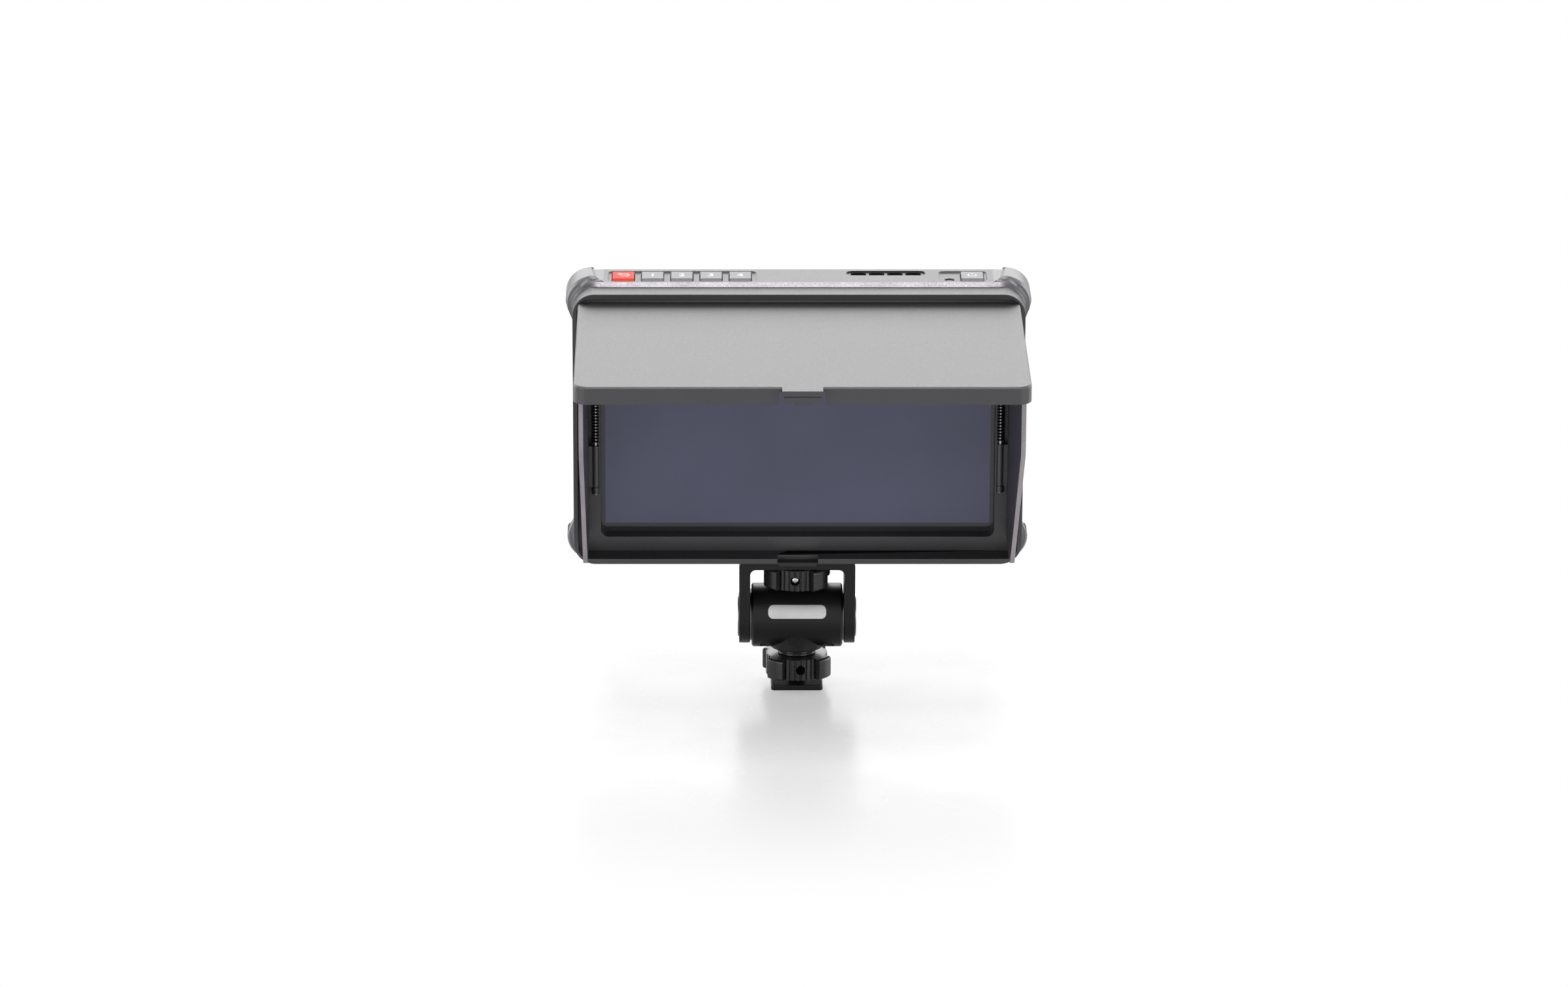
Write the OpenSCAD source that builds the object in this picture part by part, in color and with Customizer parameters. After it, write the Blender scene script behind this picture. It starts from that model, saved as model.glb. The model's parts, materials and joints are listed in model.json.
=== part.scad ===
// Camera field monitor with a folding sun hood, on a tilting accessory-shoe mount.
// Millimetres, +Z up. The origin is the centre of the shoe foot's underside.
// The screen looks along -Y, and +X is to the right of someone who faces it.
// Monitor pieces are drawn in the monitor's own frame: X across the screen, Y into the
// depth from the hood's front lip, Z up from the hood's underside.

/* [Screen] */
// Width of the lit picture area
screen_w = 132.8; // [124:0.2:142]
// Height of the lit picture area
screen_h = 74.7; // [70:0.1:79]
// Black glass border seen at each side of the picture
border_side = 1.5; // [0.8:0.1:2.5]
// Black glass border seen above and below the picture
border_top = 3.2; // [1.5:0.1:4]
// Thickness of the cover glass
glass_t = 0.7; // [0.5:0.1:0.9]
// Thickness of the liquid-crystal panel
panel_t = 1.2; // [0.8:0.1:1.3]
// Thickness of the backlight behind the panel
backlight_t = 1.6; // [1.2:0.1:1.7]

/* [Hood frame] */
// Distance from the window's edge to the hood frame's outer side
side_margin = 9.25; // [8.9:0.05:11]
// Distance from the window's upper edge to the hood frame's top
top_margin = 9.25; // [8.8:0.05:11]
// Corner radius of the window
window_r = 2.3; // [0.5:0.1:3]
// Depth of the hood frame, from its front lip to the bezel
hood_d = 8.4; // [8.4:0.1:11]
// Thickness of the hood frame's left and right walls
hood_side_wall = 1.6; // [1.3:0.1:1.7]
// Thickness of the hood frame's top and bottom walls
hood_top_wall = 2; // [1.6:0.1:2.2]
// Outer corner radius of the hood frame
hood_r = 7.5; // [6.5:0.1:8]
// Inner corner radius of the hood frame
hood_inner_r = 3.5; // [3:0.1:4.5]
// Height of the window's lower edge above the hood's underside
window_low = 7.15; // [6.6:0.05:8.5]
// Depth from the bezel's front face to the cover glass
reveal_d = 5.3; // [4:0.1:5.4]

/* [Monitor body] */
// How far the body's top and bottom stand beyond the hood frame
body_step = 1.35; // [1:0.05:2]
// Depth of the body behind the bezel's front face
body_d = 17.4; // [17.4:0.1:20]
// Wall thickness of the rear housing
body_wall = 1.8; // [1.4:0.1:1.8]
// Chamfer round the back of the rear housing
rear_chamfer = 1.5; // [1:0.1:1.6]
// Height of the raised middle of the back, which carries the battery plate
bulge_t = 2.6; // [2:0.1:5]
// Depth of the pockets that the buttons sit in
pocket_depth = 0.9; // [0.6:0.1:1.2]
// How far the corner guards stand out at the sides
guard_side = 2.5; // [1.5:0.1:3]
// How far the corner guards stand out at the top and bottom
guard_top = 1; // [0.6:0.1:1.1]
// Length of each corner guard along the body's edges
guard_run = 10.5; // [10:0.5:12]

/* [Buttons] */
// Width of a function button
button_w = 7.4; // [6:0.1:8]
// Depth of every button from front to back
button_d = 9; // [7:0.1:9.4]
// Spacing of the function buttons
button_pitch = 10; // [9.6:0.1:10.2]
// How far the buttons stand above the body's top
button_rise = 0.55; // [0.3:0.05:0.9]
// Travel of a button
button_travel = 0.5; // [0.3:0.1:0.6]
// Width of the power button
power_w = 7.6; // [6:0.1:8]
// Gap round each button
button_gap = 0.3; // [0.2:0.05:0.35]

/* [Top flap] */
// How much shorter the top flap's reach is than the hood frame's height
flap_short = 9.7; // [9.6:0.1:11.5]
// Thickness of the top flap's plate
flap_t = 1.6; // [1.2:0.1:1.6]
// Height of the rim that hangs from the top flap
flap_rim = 6; // [5:0.1:7]
// Thickness of the rim
rim_t = 1.5; // [1.2:0.1:1.5]
// Gap between the top flap and the hood frame's top wall
flap_gap = 1.1; // [0.9:0.1:1.3]
// Corner radius of the top flap at its front
flap_r = 4.5; // [3.5:0.1:5]
// How far the open top flap droops at its front, in degrees
flap_droop = 0.5; // [0:0.1:1]
// Width of the pull tab
tab_w = 13.4; // [11:0.1:13.4]
// How far the pull tab stands in front of the rim
tab_reach = 4; // [2.5:0.1:4]

/* [Side flaps] */
// Thickness of a side flap
side_t = 1.5; // [1.2:0.1:1.5]
// Offset of a side flap's outer face from its hinge axis
side_offset = 3.85; // [3.6:0.05:3.95]
// Drop from the hood frame's top to the kink between a side flap's upright and slanted edges
kink_drop = 28.2; // [22:0.1:37]
// Depth of the lower tip of a side flap in front of the lip
tip_reach = 22.7; // [15:0.1:30]
// Height of a side flap's lower edge above the hood's underside
side_low = 8; // [7:0.1:12]
// Depth of the left hinge axis behind the lip
left_axis_d = 5; // [4.9:0.05:5.1]
// Depth of the right hinge axis behind the lip, deeper so that the folded flaps stack
right_axis_d = 6.8; // [6.75:0.05:6.9]

/* [Side hinges] */
// Distance of each hinge axis from the hood frame's inner side wall
side_axis_inset = 5.9; // [5.75:0.05:6.1]
// Radius of the hinge pins
pin_r = 0.6; // [0.5:0.05:0.7]
// Radius of the hinge barrels
barrel_r = 1.3; // [1.2:0.05:1.35]
// Wire diameter of the hinge springs
wire_d = 0.45; // [0.35:0.05:0.5]
// Outer diameter of the hinge springs
spring_d = 2.8; // [2.6:0.05:2.85]
// Number of curls in a hinge spring
spring_curls = 15; // [10:1:16]

/* [Bracket] */
// Height of the tilt axis above the shoe foot's underside
axis_z = 25; // [24.5:0.1:28]
// Forward tilt of the monitor at rest, in degrees
rest_tilt = 4; // [0:0.1:8]
// Depth of the mounting screw behind the hood's front lip
screw_depth = 17.2; // [16.5:0.1:17.6]
// Width and depth of the square shoe foot
foot_w = 18; // [17.8:0.05:18.3]
// Thickness of the shoe foot
foot_t = 1.9; // [1.7:0.05:2]
// Gap between the foot and the lower thumbwheel, for the shoe's rails
rail_gap = 2.15; // [2:0.05:2.4]
// Radius of the threaded stud
stud_r = 3; // [2.5:0.1:3.2]
// Radius of a thumbwheel at its knurl
wheel_r = 10.7; // [10:0.1:11.2]
// Radius of a thumbwheel over its four lobes
lobe_r = 12.9; // [12:0.1:13.2]
// Height of a thumbwheel
wheel_h = 7.35; // [6.5:0.05:7.35]
// Radius of the cylindrical head
head_r = 11.1; // [10.5:0.1:11.3]
// Width of the cylindrical head
head_w = 31.6; // [30:0.1:33]
// Thickness of a yoke arm
arm_t = 3.8; // [3:0.1:4.5]
// Radius of a yoke arm's round end
arm_r = 9.8; // [9:0.1:10.4]
// Distance from the tilt axis to the underside of the yoke's bridge
bridge_low = 19.9; // [19.9:0.1:21]
// Thickness of the yoke's bridge
bridge_t = 3.1; // [2.5:0.05:4]
// Thickness of the rubber pad between bridge and monitor
pad_t = 0.55; // [0.4:0.05:1]
// Radius of the tilt axle
axle_r = 2.5; // [2:0.1:3]

/* [Hidden] */
$fn = 64;
run_gap = 0.05;
eps = 0.5;

// Bracket heights, worked out from the foot upwards
wheel_low = foot_t + rail_gap;
wheel_top = wheel_low + wheel_h;
washer_r = 6.7;
washer_t = 1.8;
washer_low = wheel_top + 0.1;
neck_low = washer_low + washer_t + run_gap;
nut_drop = 8.5;
nut_floor = axis_z - nut_drop;
nut_t = 3;
nut_r = 5.5;
stud_top = nut_floor + nut_t + 1;
screw_r = 3.175;
arm_gap = 0.5;
arm_in = head_w / 2 + arm_gap;
arm_out = arm_in + arm_t;
cap_t = 0.5;
cap_r = 7.5;
upper_wheel_low = bridge_low - wheel_h - 0.1;
yoke_reach = bridge_low + bridge_t + pad_t + body_step;
insert_h = 6.2;
insert_r = 5;
screw_reach = yoke_reach - body_step + insert_h - 1;
lower_hole_angle = 277;
upper_hole_angle = 265.5;

// Monitor widths, heights and depths
window_w = screen_w + 2 * border_side;
window_h = screen_h + 2 * border_top;
window_mid = window_low + window_h / 2;
hood_w = window_w + 2 * side_margin;
hood_h = window_low + window_h + top_margin;
flap_reach = hood_h - flap_short;
kink_h = hood_h - kink_drop;
body_w = hood_w;
body_low = -body_step;
body_top = hood_h + body_step;
body_h = body_top - body_low;
body_back = hood_d + body_d;
bulge_back = body_back + bulge_t;
bulge_w = 70;
bulge_h = 74;
bulge_r = 5;
glass_d = hood_d + reveal_d;
glass_lap = 1.6;
panel_lap = 0.4;
bezel_t = body_step + 0.1;
bezel_back = hood_d + bezel_t;
panel_back = glass_d + glass_t + panel_t;
light_back = panel_back + backlight_t;
carrier_t = 0.5;
carrier_back = light_back + carrier_t;
board_t = 0.8;
board_front = carrier_back + 0.3;
inside_w = body_w - 2 * body_wall;
inside_top = body_top - body_wall;
pocket_front = hood_d + 2.3;
pocket_back = hood_d + 13.9;
pocket_floor = body_top - pocket_depth;
button_front = pocket_front + 0.5;
button_top = body_top + button_rise;
first_button_x = 17.25 - body_w / 2;
power_x = body_w / 2 - 17.75;
sensor_x = power_x - 7.8;
sensor_d = button_front + 2.7;
vent_x = power_x - 29.45;
vent_w = 26.9;
vent_front = hood_d + 9;
vent_d = 5.1;
switch_board_z = inside_top - 4;
switch_board_t = 1;
switch_top = switch_board_z + switch_board_t + 0.4;

// Hood and flap places
hood_in_w = hood_w - 2 * hood_side_wall;
hood_in_top = hood_h - hood_top_wall;
side_axis_x = hood_in_w / 2 - side_axis_inset;
flap_top = hood_in_top - flap_gap;
flap_under = flap_top - flap_t;
flap_half = hood_in_w / 2 - 0.35;
top_axis_d = 1.8;
top_axis_h = flap_top - 2.4;
top_pin_r = 0.8;
ear_in = flap_half - 4.7;
ear_out = flap_half - 1.7;
flap_end_d = -1;
flap_mid_d = 1;
flap_bevel = 0.6;
flap_inner_r = 1.6;
tab_gap = 1;
side_top = flap_under - 0.35;
side_front = -(flap_reach - rim_t - 1.2);
low_lug = window_mid - 23.5;
high_lug = window_mid + 27.5;
lug_h = 2.3;
barrel_low = low_lug + lug_h + 0.2;
barrel_high = high_lug - 0.2;
spring_low = window_mid - 6;
spring_high = window_mid + 12.1;
lug_plate_t = 1.1;
notch_w = tab_w + 0.6;
notch_d = 4;
catch_w = 6.6;

graphite = [0.2, 0.2, 0.21];
black = [0.06, 0.06, 0.065];
silver = [0.78, 0.78, 0.78];
steel = [0.6, 0.6, 0.62];

// A rectangle with round corners, centred on the origin
module round_rect(w, h, r) {
    square([w - 2 * r, h], center = true);
    square([w, h - 2 * r], center = true);
    for (x = [-1, 1], y = [-1, 1])
        translate([x * (w / 2 - r), y * (h / 2 - r)]) circle(r);
}

// The points of a polygon whose corners are rounded by arcs of the given radii
function arc_corner(a, b, c, r, steps) =
    let (u = (a - b) / norm(a - b),
         v = (c - b) / norm(c - b),
         half = acos(u * v) / 2,
         mid = (u + v) / norm(u + v),
         centre = b + mid * r / sin(half),
         start = b + u * r / tan(half) - centre,
         end = b + v * r / tan(half) - centre,
         from = atan2(start.y, start.x),
         turn = atan2(end.y, end.x) - from,
         sweep = turn > 180 ? turn - 360 : turn < -180 ? turn + 360 : turn)
    [for (i = [0 : steps]) centre + r * [cos(from + sweep * i / steps), sin(from + sweep * i / steps)]];

function rounded_path(points, radii, steps = 8) =
    let (n = len(points))
    [for (i = [0 : n - 1])
        each radii[i] > 0
            ? arc_corner(points[(i + n - 1) % n], points[i], points[(i + 1) % n], radii[i], steps)
            : [points[i]]];

// A flat outline in X and Z, thick from one depth to another
module slab(front, back) {
    translate([0, back, 0]) rotate([90, 0, 0]) linear_extrude(back - front) children();
}

// A flat outline in Y and Z, thick from one X to another
module side_slab(from, to) {
    translate([from, 0, 0]) rotate([90, 0, 90]) linear_extrude(to - from) children();
}

// A cylinder along X
module rod_x(r, from, to) {
    translate([from, 0, 0]) rotate([0, 90, 0]) cylinder(r = r, h = to - from);
}

// A cylinder along Y
module rod_y(r, from, to) {
    translate([0, to, 0]) rotate([90, 0, 0]) cylinder(r = r, h = to - from);
}

// A block with round corners that faces forwards, chamfered round its front or back
module rounded_block(w, h, r, front, back, front_cut, back_cut) {
    module edge(reach) {
        polygon([
            [0, front], [reach - front_cut, front], [reach, front + front_cut],
            [reach, back - back_cut], [reach - back_cut, back], [0, back]]);
    }
    translate([0, 0, r - h / 2]) linear_extrude(h - 2 * r)
        for (s = [0, 1]) mirror([s, 0]) edge(w / 2);
    rotate([0, 90, 0]) translate([0, 0, r - w / 2]) linear_extrude(w - 2 * r)
        for (s = [0, 1]) mirror([s, 0]) edge(h / 2);
    for (sx = [-1, 1], sz = [-1, 1])
        translate([sx * (w / 2 - r), 0, sz * (h / 2 - r)])
            rotate([-90, 0, 0]) rotate_extrude() edge(r);
}

// A box given by its two opposite corners
module span_box(low, high) {
    translate(low) cube(high - low);
}

module in_yoke() {
    translate([0, 0, axis_z]) rotate([rest_tilt, 0, 0]) children();
}

module in_monitor() {
    in_yoke() translate([0, -screw_depth, yoke_reach]) children();
}

// Bracket

module shoe_foot() {
    color(black) {
        linear_extrude(foot_t) round_rect(foot_w, foot_w, 1.2);
        cylinder(r = stud_r, h = stud_top);
    }
}

module swivel_washer() {
    bore = stud_r + run_gap;
    edge = 0.25;
    half = washer_t / 2;
    // Two rings with a groove between them
    color(black) translate([0, 0, washer_low]) rotate_extrude() polygon([
        [bore, 0], [washer_r - edge, 0], [washer_r, edge], [washer_r, half - edge],
        [washer_r - edge, half], [washer_r, half + edge], [washer_r, washer_t - edge],
        [washer_r - edge, washer_t], [bore, washer_t]]);
}

module stud_nut() {
    color(steel) translate([0, 0, nut_floor + run_gap]) difference() {
        cylinder(r = nut_r, h = nut_t, $fn = 6);
        translate([0, 0, -eps]) cylinder(r = stud_r, h = nut_t + 2 * eps);
    }
}

// A knurled wheel with four smooth lobes and a cross hole, standing on z = 0
lobe_half = 15;
flute_count = 36;
module lobed_wheel(bore, hole_angle) {
    edge = 0.45;
    difference() {
        intersection() {
            rotate_extrude() polygon([
                [0, 0], [lobe_r - edge, 0], [lobe_r, edge], [lobe_r, wheel_h - edge],
                [lobe_r - edge, wheel_h], [0, wheel_h]]);
            union() {
                cylinder(r = wheel_r, h = wheel_h);
                for (k = [0 : 3]) rotate([0, 0, hole_angle + 45 + 90 * k])
                    linear_extrude(wheel_h) polygon([
                        [0, 0],
                        [2 * lobe_r, -2 * lobe_r * tan(lobe_half)],
                        [2 * lobe_r, 2 * lobe_r * tan(lobe_half)]]);
            }
        }
        for (k = [0 : flute_count - 1])
            if (abs((k * 360 / flute_count + 45) % 90 - 45) < 45 - lobe_half - 3)
                rotate([0, 0, hole_angle + k * 360 / flute_count])
                    translate([wheel_r + 0.1, 0, -eps]) cylinder(r = 0.5, h = wheel_h + 2 * eps, $fn = 16);
        translate([0, 0, -eps]) cylinder(r = bore, h = wheel_h + 2 * eps);
        translate([0, 0, wheel_h / 2]) rotate([0, 0, hole_angle])
            rod_x(1.67, 0, lobe_r + eps);
    }
}

module lower_thumbwheel() {
    color(black) translate([0, 0, wheel_low]) lobed_wheel(stud_r + run_gap, lower_hole_angle);
}

// The whole head as a solid of revolution about the tilt axis
module head_drum() {
    edge = 0.6;
    rotate([0, 90, 0]) rotate_extrude($fn = 96) polygon([
        [0, -head_w / 2], [head_r - edge, -head_w / 2], [head_r, edge - head_w / 2],
        [head_r, head_w / 2 - edge], [head_r - edge, head_w / 2], [0, head_w / 2]]);
}

module axle_bore() {
    translate([0, 0, axis_z]) rod_x(axle_r + run_gap, -arm_out, arm_out);
}

head_screw_inset = 4.8;
head_screw_seat = 6;
head_screw_rise = 6;
head_screw_places = [
    for (sx = [-1, 1], sy = [-1, 1]) [sx * (head_w / 2 - head_screw_inset), sy * head_r / 2]];
head_corner_r = 2.2;
boss_low = axis_z - head_r;
boss_r = 9.4;
boss_high_r = 10.1;
boss_high = axis_z - sqrt(head_r * head_r - boss_high_r * boss_high_r);
module head_lower_shell() {
    color(black) difference() {
        union() {
            intersection() {
                translate([0, 0, axis_z]) head_drum();
                // The lower corners are rounded as seen from the front
                slab(-head_r - 1, head_r + 1) polygon(rounded_path([
                    [-head_w / 2 - 1, axis_z], [-head_w / 2, axis_z - 1], [-head_w / 2, axis_z - head_r],
                    [head_w / 2, axis_z - head_r], [head_w / 2, axis_z - 1], [head_w / 2 + 1, axis_z]],
                    [0, 0, head_corner_r, head_corner_r, 0, 0]));
            }
            // The round boss, hollowed out round the neck and widening up to the drum
            rotate_extrude() polygon([
                [0, neck_low], [washer_r, neck_low], [washer_r + 0.5, boss_low - 0.3],
                [washer_r + 1.2, boss_low - 0.1], [boss_r - 0.3, boss_low], [boss_r, boss_low + 0.3],
                [boss_r + 0.15, boss_low + 3.1], [boss_high_r, boss_high], [0, boss_high]]);
        }
        axle_bore();
        translate([0, 0, neck_low - eps]) cylinder(r = stud_r + run_gap, h = nut_floor - neck_low + 1);
        translate([0, 0, nut_floor]) cylinder(r = nut_r + 0.5, h = axis_z - nut_floor + 1);
        for (p = head_screw_places) translate([p.x, p.y, axis_z]) {
            translate([0, 0, -head_r - 1]) cylinder(r = 2.1, h = head_r + 1 - head_screw_seat);
            translate([0, 0, -head_screw_seat - 1]) cylinder(r = 1.25, h = head_screw_seat + 2);
        }
    }
}

plate_low_angle = 8.4;
plate_high_angle = 34;
plate_t = 0.3;
plate_w = 20.1;
plate_corner_r = 1.8;
plate_rise = head_r * (sin(plate_high_angle) - sin(plate_low_angle));
plate_mid = head_r * (sin(plate_high_angle) + sin(plate_low_angle)) / 2;

// A shell on the drum's front between two radii, with round corners as seen from the front
module plate_form(inner, outer, grow) {
    intersection() {
        translate([0, 0, axis_z]) rotate([90 - plate_high_angle - 2, 0, 0]) rotate([0, 90, 0])
            rotate([0, 0, 180]) translate([0, 0, -plate_w / 2 - 1])
                rotate_extrude(angle = plate_high_angle - plate_low_angle + 4, $fn = 96)
                    translate([inner, 0]) square([outer - inner, plate_w + 2]);
        slab(-head_r - 1, 0) translate([0, axis_z + plate_mid])
            round_rect(plate_w + 2 * grow, plate_rise + 2 * grow, plate_corner_r + grow);
    }
}

module head_upper_shell() {
    color(black) difference() {
        intersection() {
            translate([0, 0, axis_z]) head_drum();
            span_box([-head_w, -head_r - 1, axis_z], [head_w, head_r + 1, axis_z + head_r + 1]);
        }
        axle_bore();
        plate_form(head_r - plate_t - 0.01, head_r + 1, 0.1);
        for (p = head_screw_places) translate([p.x, p.y, axis_z - 1])
            cylinder(r = 1.25, h = head_screw_rise + 1.5);
    }
}

module head_screws() {
    color(steel) for (p = head_screw_places) translate([p.x, p.y, axis_z - head_screw_seat]) difference() {
        union() {
            translate([0, 0, -1.6]) cylinder(r = 2, h = 1.6);
            translate([0, 0, -0.1]) cylinder(r = 1.2, h = head_screw_seat + head_screw_rise);
        }
        translate([0, 0, -2]) cylinder(r = 0.9, h = 1.4, $fn = 6);
    }
}

module blank_plate() {
    color(silver) plate_form(head_r - plate_t, head_r + 0.05, 0);
}

module tilt_axle() {
    color(steel) translate([0, 0, axis_z]) rod_x(axle_r, -arm_out, arm_out);
}

bridge_half = 9.8;
module yoke() {
    color(black) in_yoke() difference() {
        intersection() {
            slab(-arm_r - 1, arm_r + 1) polygon(rounded_path([
                [-arm_out, -arm_r - 1], [-arm_out, bridge_low + bridge_t], [arm_out, bridge_low + bridge_t],
                [arm_out, -arm_r - 1], [arm_in, -arm_r - 1], [arm_in, bridge_low],
                [-arm_in, bridge_low], [-arm_in, -arm_r - 1]],
                [0, 2, 2, 0, 0, 2, 2, 0]));
            side_slab(-arm_out - 1, arm_out + 1) union() {
                circle(arm_r, $fn = 96);
                translate([-arm_r, 0]) square([2 * arm_r, bridge_low]);
                translate([-bridge_half, bridge_low - 1]) square([2 * bridge_half, bridge_t + 1]);
            }
        }
        rod_x(axle_r + run_gap, -arm_out - 1, arm_out + 1);
        translate([0, 0, bridge_low - 1]) cylinder(r = screw_r + 0.1, h = bridge_t + 2);
    }
}

module friction_washers() {
    color(steel) in_yoke() for (s = [0, 1]) mirror([s, 0, 0]) difference() {
        rod_x(arm_r - 0.8, head_w / 2 + run_gap, arm_in);
        rod_x(axle_r + run_gap, head_w / 2 - eps, arm_in + eps);
    }
}

module axle_caps() {
    color(steel) in_yoke() for (s = [0, 1]) mirror([s, 0, 0]) difference() {
        rod_x(cap_r, arm_out, arm_out + cap_t);
        rod_x(1.5, arm_out + 0.2, arm_out + cap_t + eps, $fn = 6);
    }
}

module bridge_pad() {
    color(black) in_yoke() translate([0, 0, bridge_low + bridge_t]) difference() {
        linear_extrude(pad_t) round_rect(2 * arm_out - 5, 2 * bridge_half - 1, 2);
        translate([0, 0, -eps]) cylinder(r = screw_r + 0.2, h = pad_t + 2 * eps);
    }
}

module upper_thumbwheel() {
    color(black) in_yoke() translate([0, 0, upper_wheel_low]) lobed_wheel(screw_r, upper_hole_angle);
}

module mounting_screw() {
    color(steel) in_yoke() translate([0, 0, upper_wheel_low + 0.6])
        cylinder(r = screw_r, h = screw_reach - upper_wheel_low - 0.6);
}

// Monitor body

// The window's outline, grown on every side
module window_shape(grow, r) {
    translate([0, window_mid]) round_rect(window_w + 2 * grow, window_h + 2 * grow, r);
}

// The body's outline, drawn in on every side
module body_shape(inset, r) {
    translate([0, (body_low + body_top) / 2])
        round_rect(body_w - 2 * inset, body_h - 2 * inset, r);
}

body_r = hood_r + body_step;
reveal_wall = 1.2;

// The whole body's outline from one depth to another, chamfered at its front or back
module body_block(front, back, front_cut, back_cut) {
    translate([0, 0, (body_low + body_top) / 2])
        rounded_block(body_w, body_h, body_r, front, back, front_cut, back_cut);
}

module front_bezel() {
    color(graphite) in_monitor() difference() {
        union() {
            body_block(hood_d, bezel_back, body_step, 0);
            slab(bezel_back - 0.05, glass_d) window_shape(reveal_wall, window_r + reveal_wall);
        }
        slab(hood_d - 1, glass_d + 1) window_shape(0, window_r);
    }
}

// A pocket in the body's top, from one X to another
module top_pocket(from, to) {
    translate([(from + to) / 2, (pocket_front + pocket_back) / 2, pocket_floor])
        linear_extrude(pocket_depth + 1) round_rect(to - from, pocket_back - pocket_front, 2);
}

function button_x(k) = first_button_x + k * button_pitch;
pocket_left = button_x(0) - button_w / 2 - 1.6;
pocket_right = button_x(4) + button_w / 2 + 1.9;
power_left = sensor_x - 3.7;
power_right = power_x + power_w / 2 + 1.3;

// The hole that a button passes through, in the pocket's floor
module button_hole(x, w) {
    span_box([x - w / 2 - button_gap, button_front - button_gap, inside_top - 1],
             [x + w / 2 + button_gap, button_front + button_d + button_gap, body_top + 1]);
}

socket_d = carrier_back + 3.15;
plate_mid_z = hood_h / 2 + 1.25;
board_w = inside_w - 18.7;
board_low = plate_mid_z - 36;
board_high = plate_mid_z + 18;
socket_in = (body_w - board_w) / 2;
video_in_z = plate_mid_z - 18;
video_out_z = plate_mid_z + 2;
headphone_z = plate_mid_z + 24;
power_socket_z = plate_mid_z - 26;
service_z = plate_mid_z - 8;
video_w = 15.2;
video_t = 5;
headphone_r = 1.78;
headphone_body_r = 2.6;
power_hole_r = 2.8;
power_body_r = 3.15;
service_w = 9.8;
service_t = 3.8;
rear_screw_inset = 13.15;
rear_screw_rise = 8;
rear_screw_step = 18;
rear_slot_w = 24;
rear_slot_pitch = 5;
rear_slot_x = (bulge_w + body_w) / 4 - 6.075;
rear_screw_x = body_w / 2 - rear_screw_inset;
rear_screw_places = [
    for (s = [-1, 1], p = [
        [rear_screw_x, rear_screw_rise], [rear_screw_x, hood_h - 9.5],
        [rear_screw_x - rear_screw_step, rear_screw_rise]])
    [s * p.x, p.y]];

module rear_housing() {
    color(graphite) in_monitor() difference() {
        union() {
            difference() {
                body_block(bezel_back, body_back, 0, rear_chamfer);
                slab(bezel_back - 1, body_back - body_wall) body_shape(body_wall, body_r - body_wall);
            }
            // Raised middle of the back
            translate([0, 0, plate_mid_z])
                rounded_block(bulge_w, bulge_h, bulge_r, body_back - 0.5, bulge_back, 0, 1);
            // Thick seats under the two button pockets
            for (x = [[pocket_left, pocket_right], [power_left, power_right]])
                span_box([x[0] - 1.5, bezel_back, inside_top - pocket_depth],
                         [x[1] + 1.5, pocket_back + 1.5, inside_top + 0.1]);
            // Ribs that carry the button board
            for (x = [pocket_right + 9.3, vent_x - vent_w / 2 - 11.5, power_left - 1.9])
                span_box([x - 1, pocket_front, switch_board_z + switch_board_t],
                         [x + 1, pocket_back - 1, inside_top + 0.1]);
            // Bosses for the rear screws
            for (p = rear_screw_places)
                translate([p[0], 0, p[1]]) rod_y(3, carrier_back, body_back - body_wall + 0.1);
        }
        slab(body_back - body_wall - 1, bulge_back - body_wall) translate([0, plate_mid_z])
            round_rect(bulge_w - 2 * body_wall, bulge_h - 2 * body_wall, bulge_r - 2);
        top_pocket(pocket_left, pocket_right);
        top_pocket(power_left, power_right);
        for (k = [0 : 4]) button_hole(button_x(k), button_w);
        button_hole(power_x, power_w);
        translate([sensor_x, sensor_d, inside_top - 1]) cylinder(r = 1.75, h = 3);
        translate([vent_x, vent_front + vent_d / 2, inside_top - 1])
            linear_extrude(body_wall + 2) round_rect(vent_w, vent_d, 2);
        // Screw recesses, from the back
        for (p = rear_screw_places) translate([p[0], 0, p[1]]) {
            rod_y(2.4, body_back - 1.4, body_back + 1);
            rod_y(1.25, carrier_back - 1, body_back);
        }
        // Cooling slots at both sides of the battery plate
        for (s = [-1, 1], k = [0 : 6])
            translate([s * rear_slot_x, 0, plate_mid_z - 16 + rear_slot_pitch * k])
                slab(body_back - body_wall - 1, body_back + 1) round_rect(rear_slot_w, 1.8, 0.85);
        // Cut-outs for the sockets in the left and right walls
        for (z = [video_in_z, video_out_z])
            span_box([-body_w / 2 - 1, socket_d - video_t / 2, z - video_w / 2],
                     [-inside_w / 2 + 1, socket_d + video_t / 2, z + video_w / 2]);
        translate([0, socket_d, headphone_z]) rod_x(headphone_body_r, -body_w / 2 - 1, -inside_w / 2 + 1);
        translate([0, socket_d, power_socket_z]) rod_x(power_body_r, inside_w / 2 - 1, body_w / 2 + 1);
        span_box([inside_w / 2 - 1, socket_d - service_t / 2, service_z - service_w / 2],
                 [body_w / 2 + 1, socket_d + service_t / 2, service_z + service_w / 2]);
        translate([0, screw_depth, body_low - 1]) cylinder(r = insert_r, h = body_wall + 2);
        // Notches that seat the corner guards
        for (sx = [-1, 1], sz = [-1, 1]) guard_place(sx, sz) guard_seat();
    }
}

guard_front = bezel_back + 0.2;
guard_back = body_back - rear_chamfer - 0.1;
guard_seat_d = 0.9;
module guard_place(sx, sz) {
    translate([sx * body_w / 2, 0, sz > 0 ? body_top : body_low])
        mirror([sx < 0 ? 1 : 0, 0, 0]) mirror([0, 0, sz < 0 ? 1 : 0]) children();
}

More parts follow.
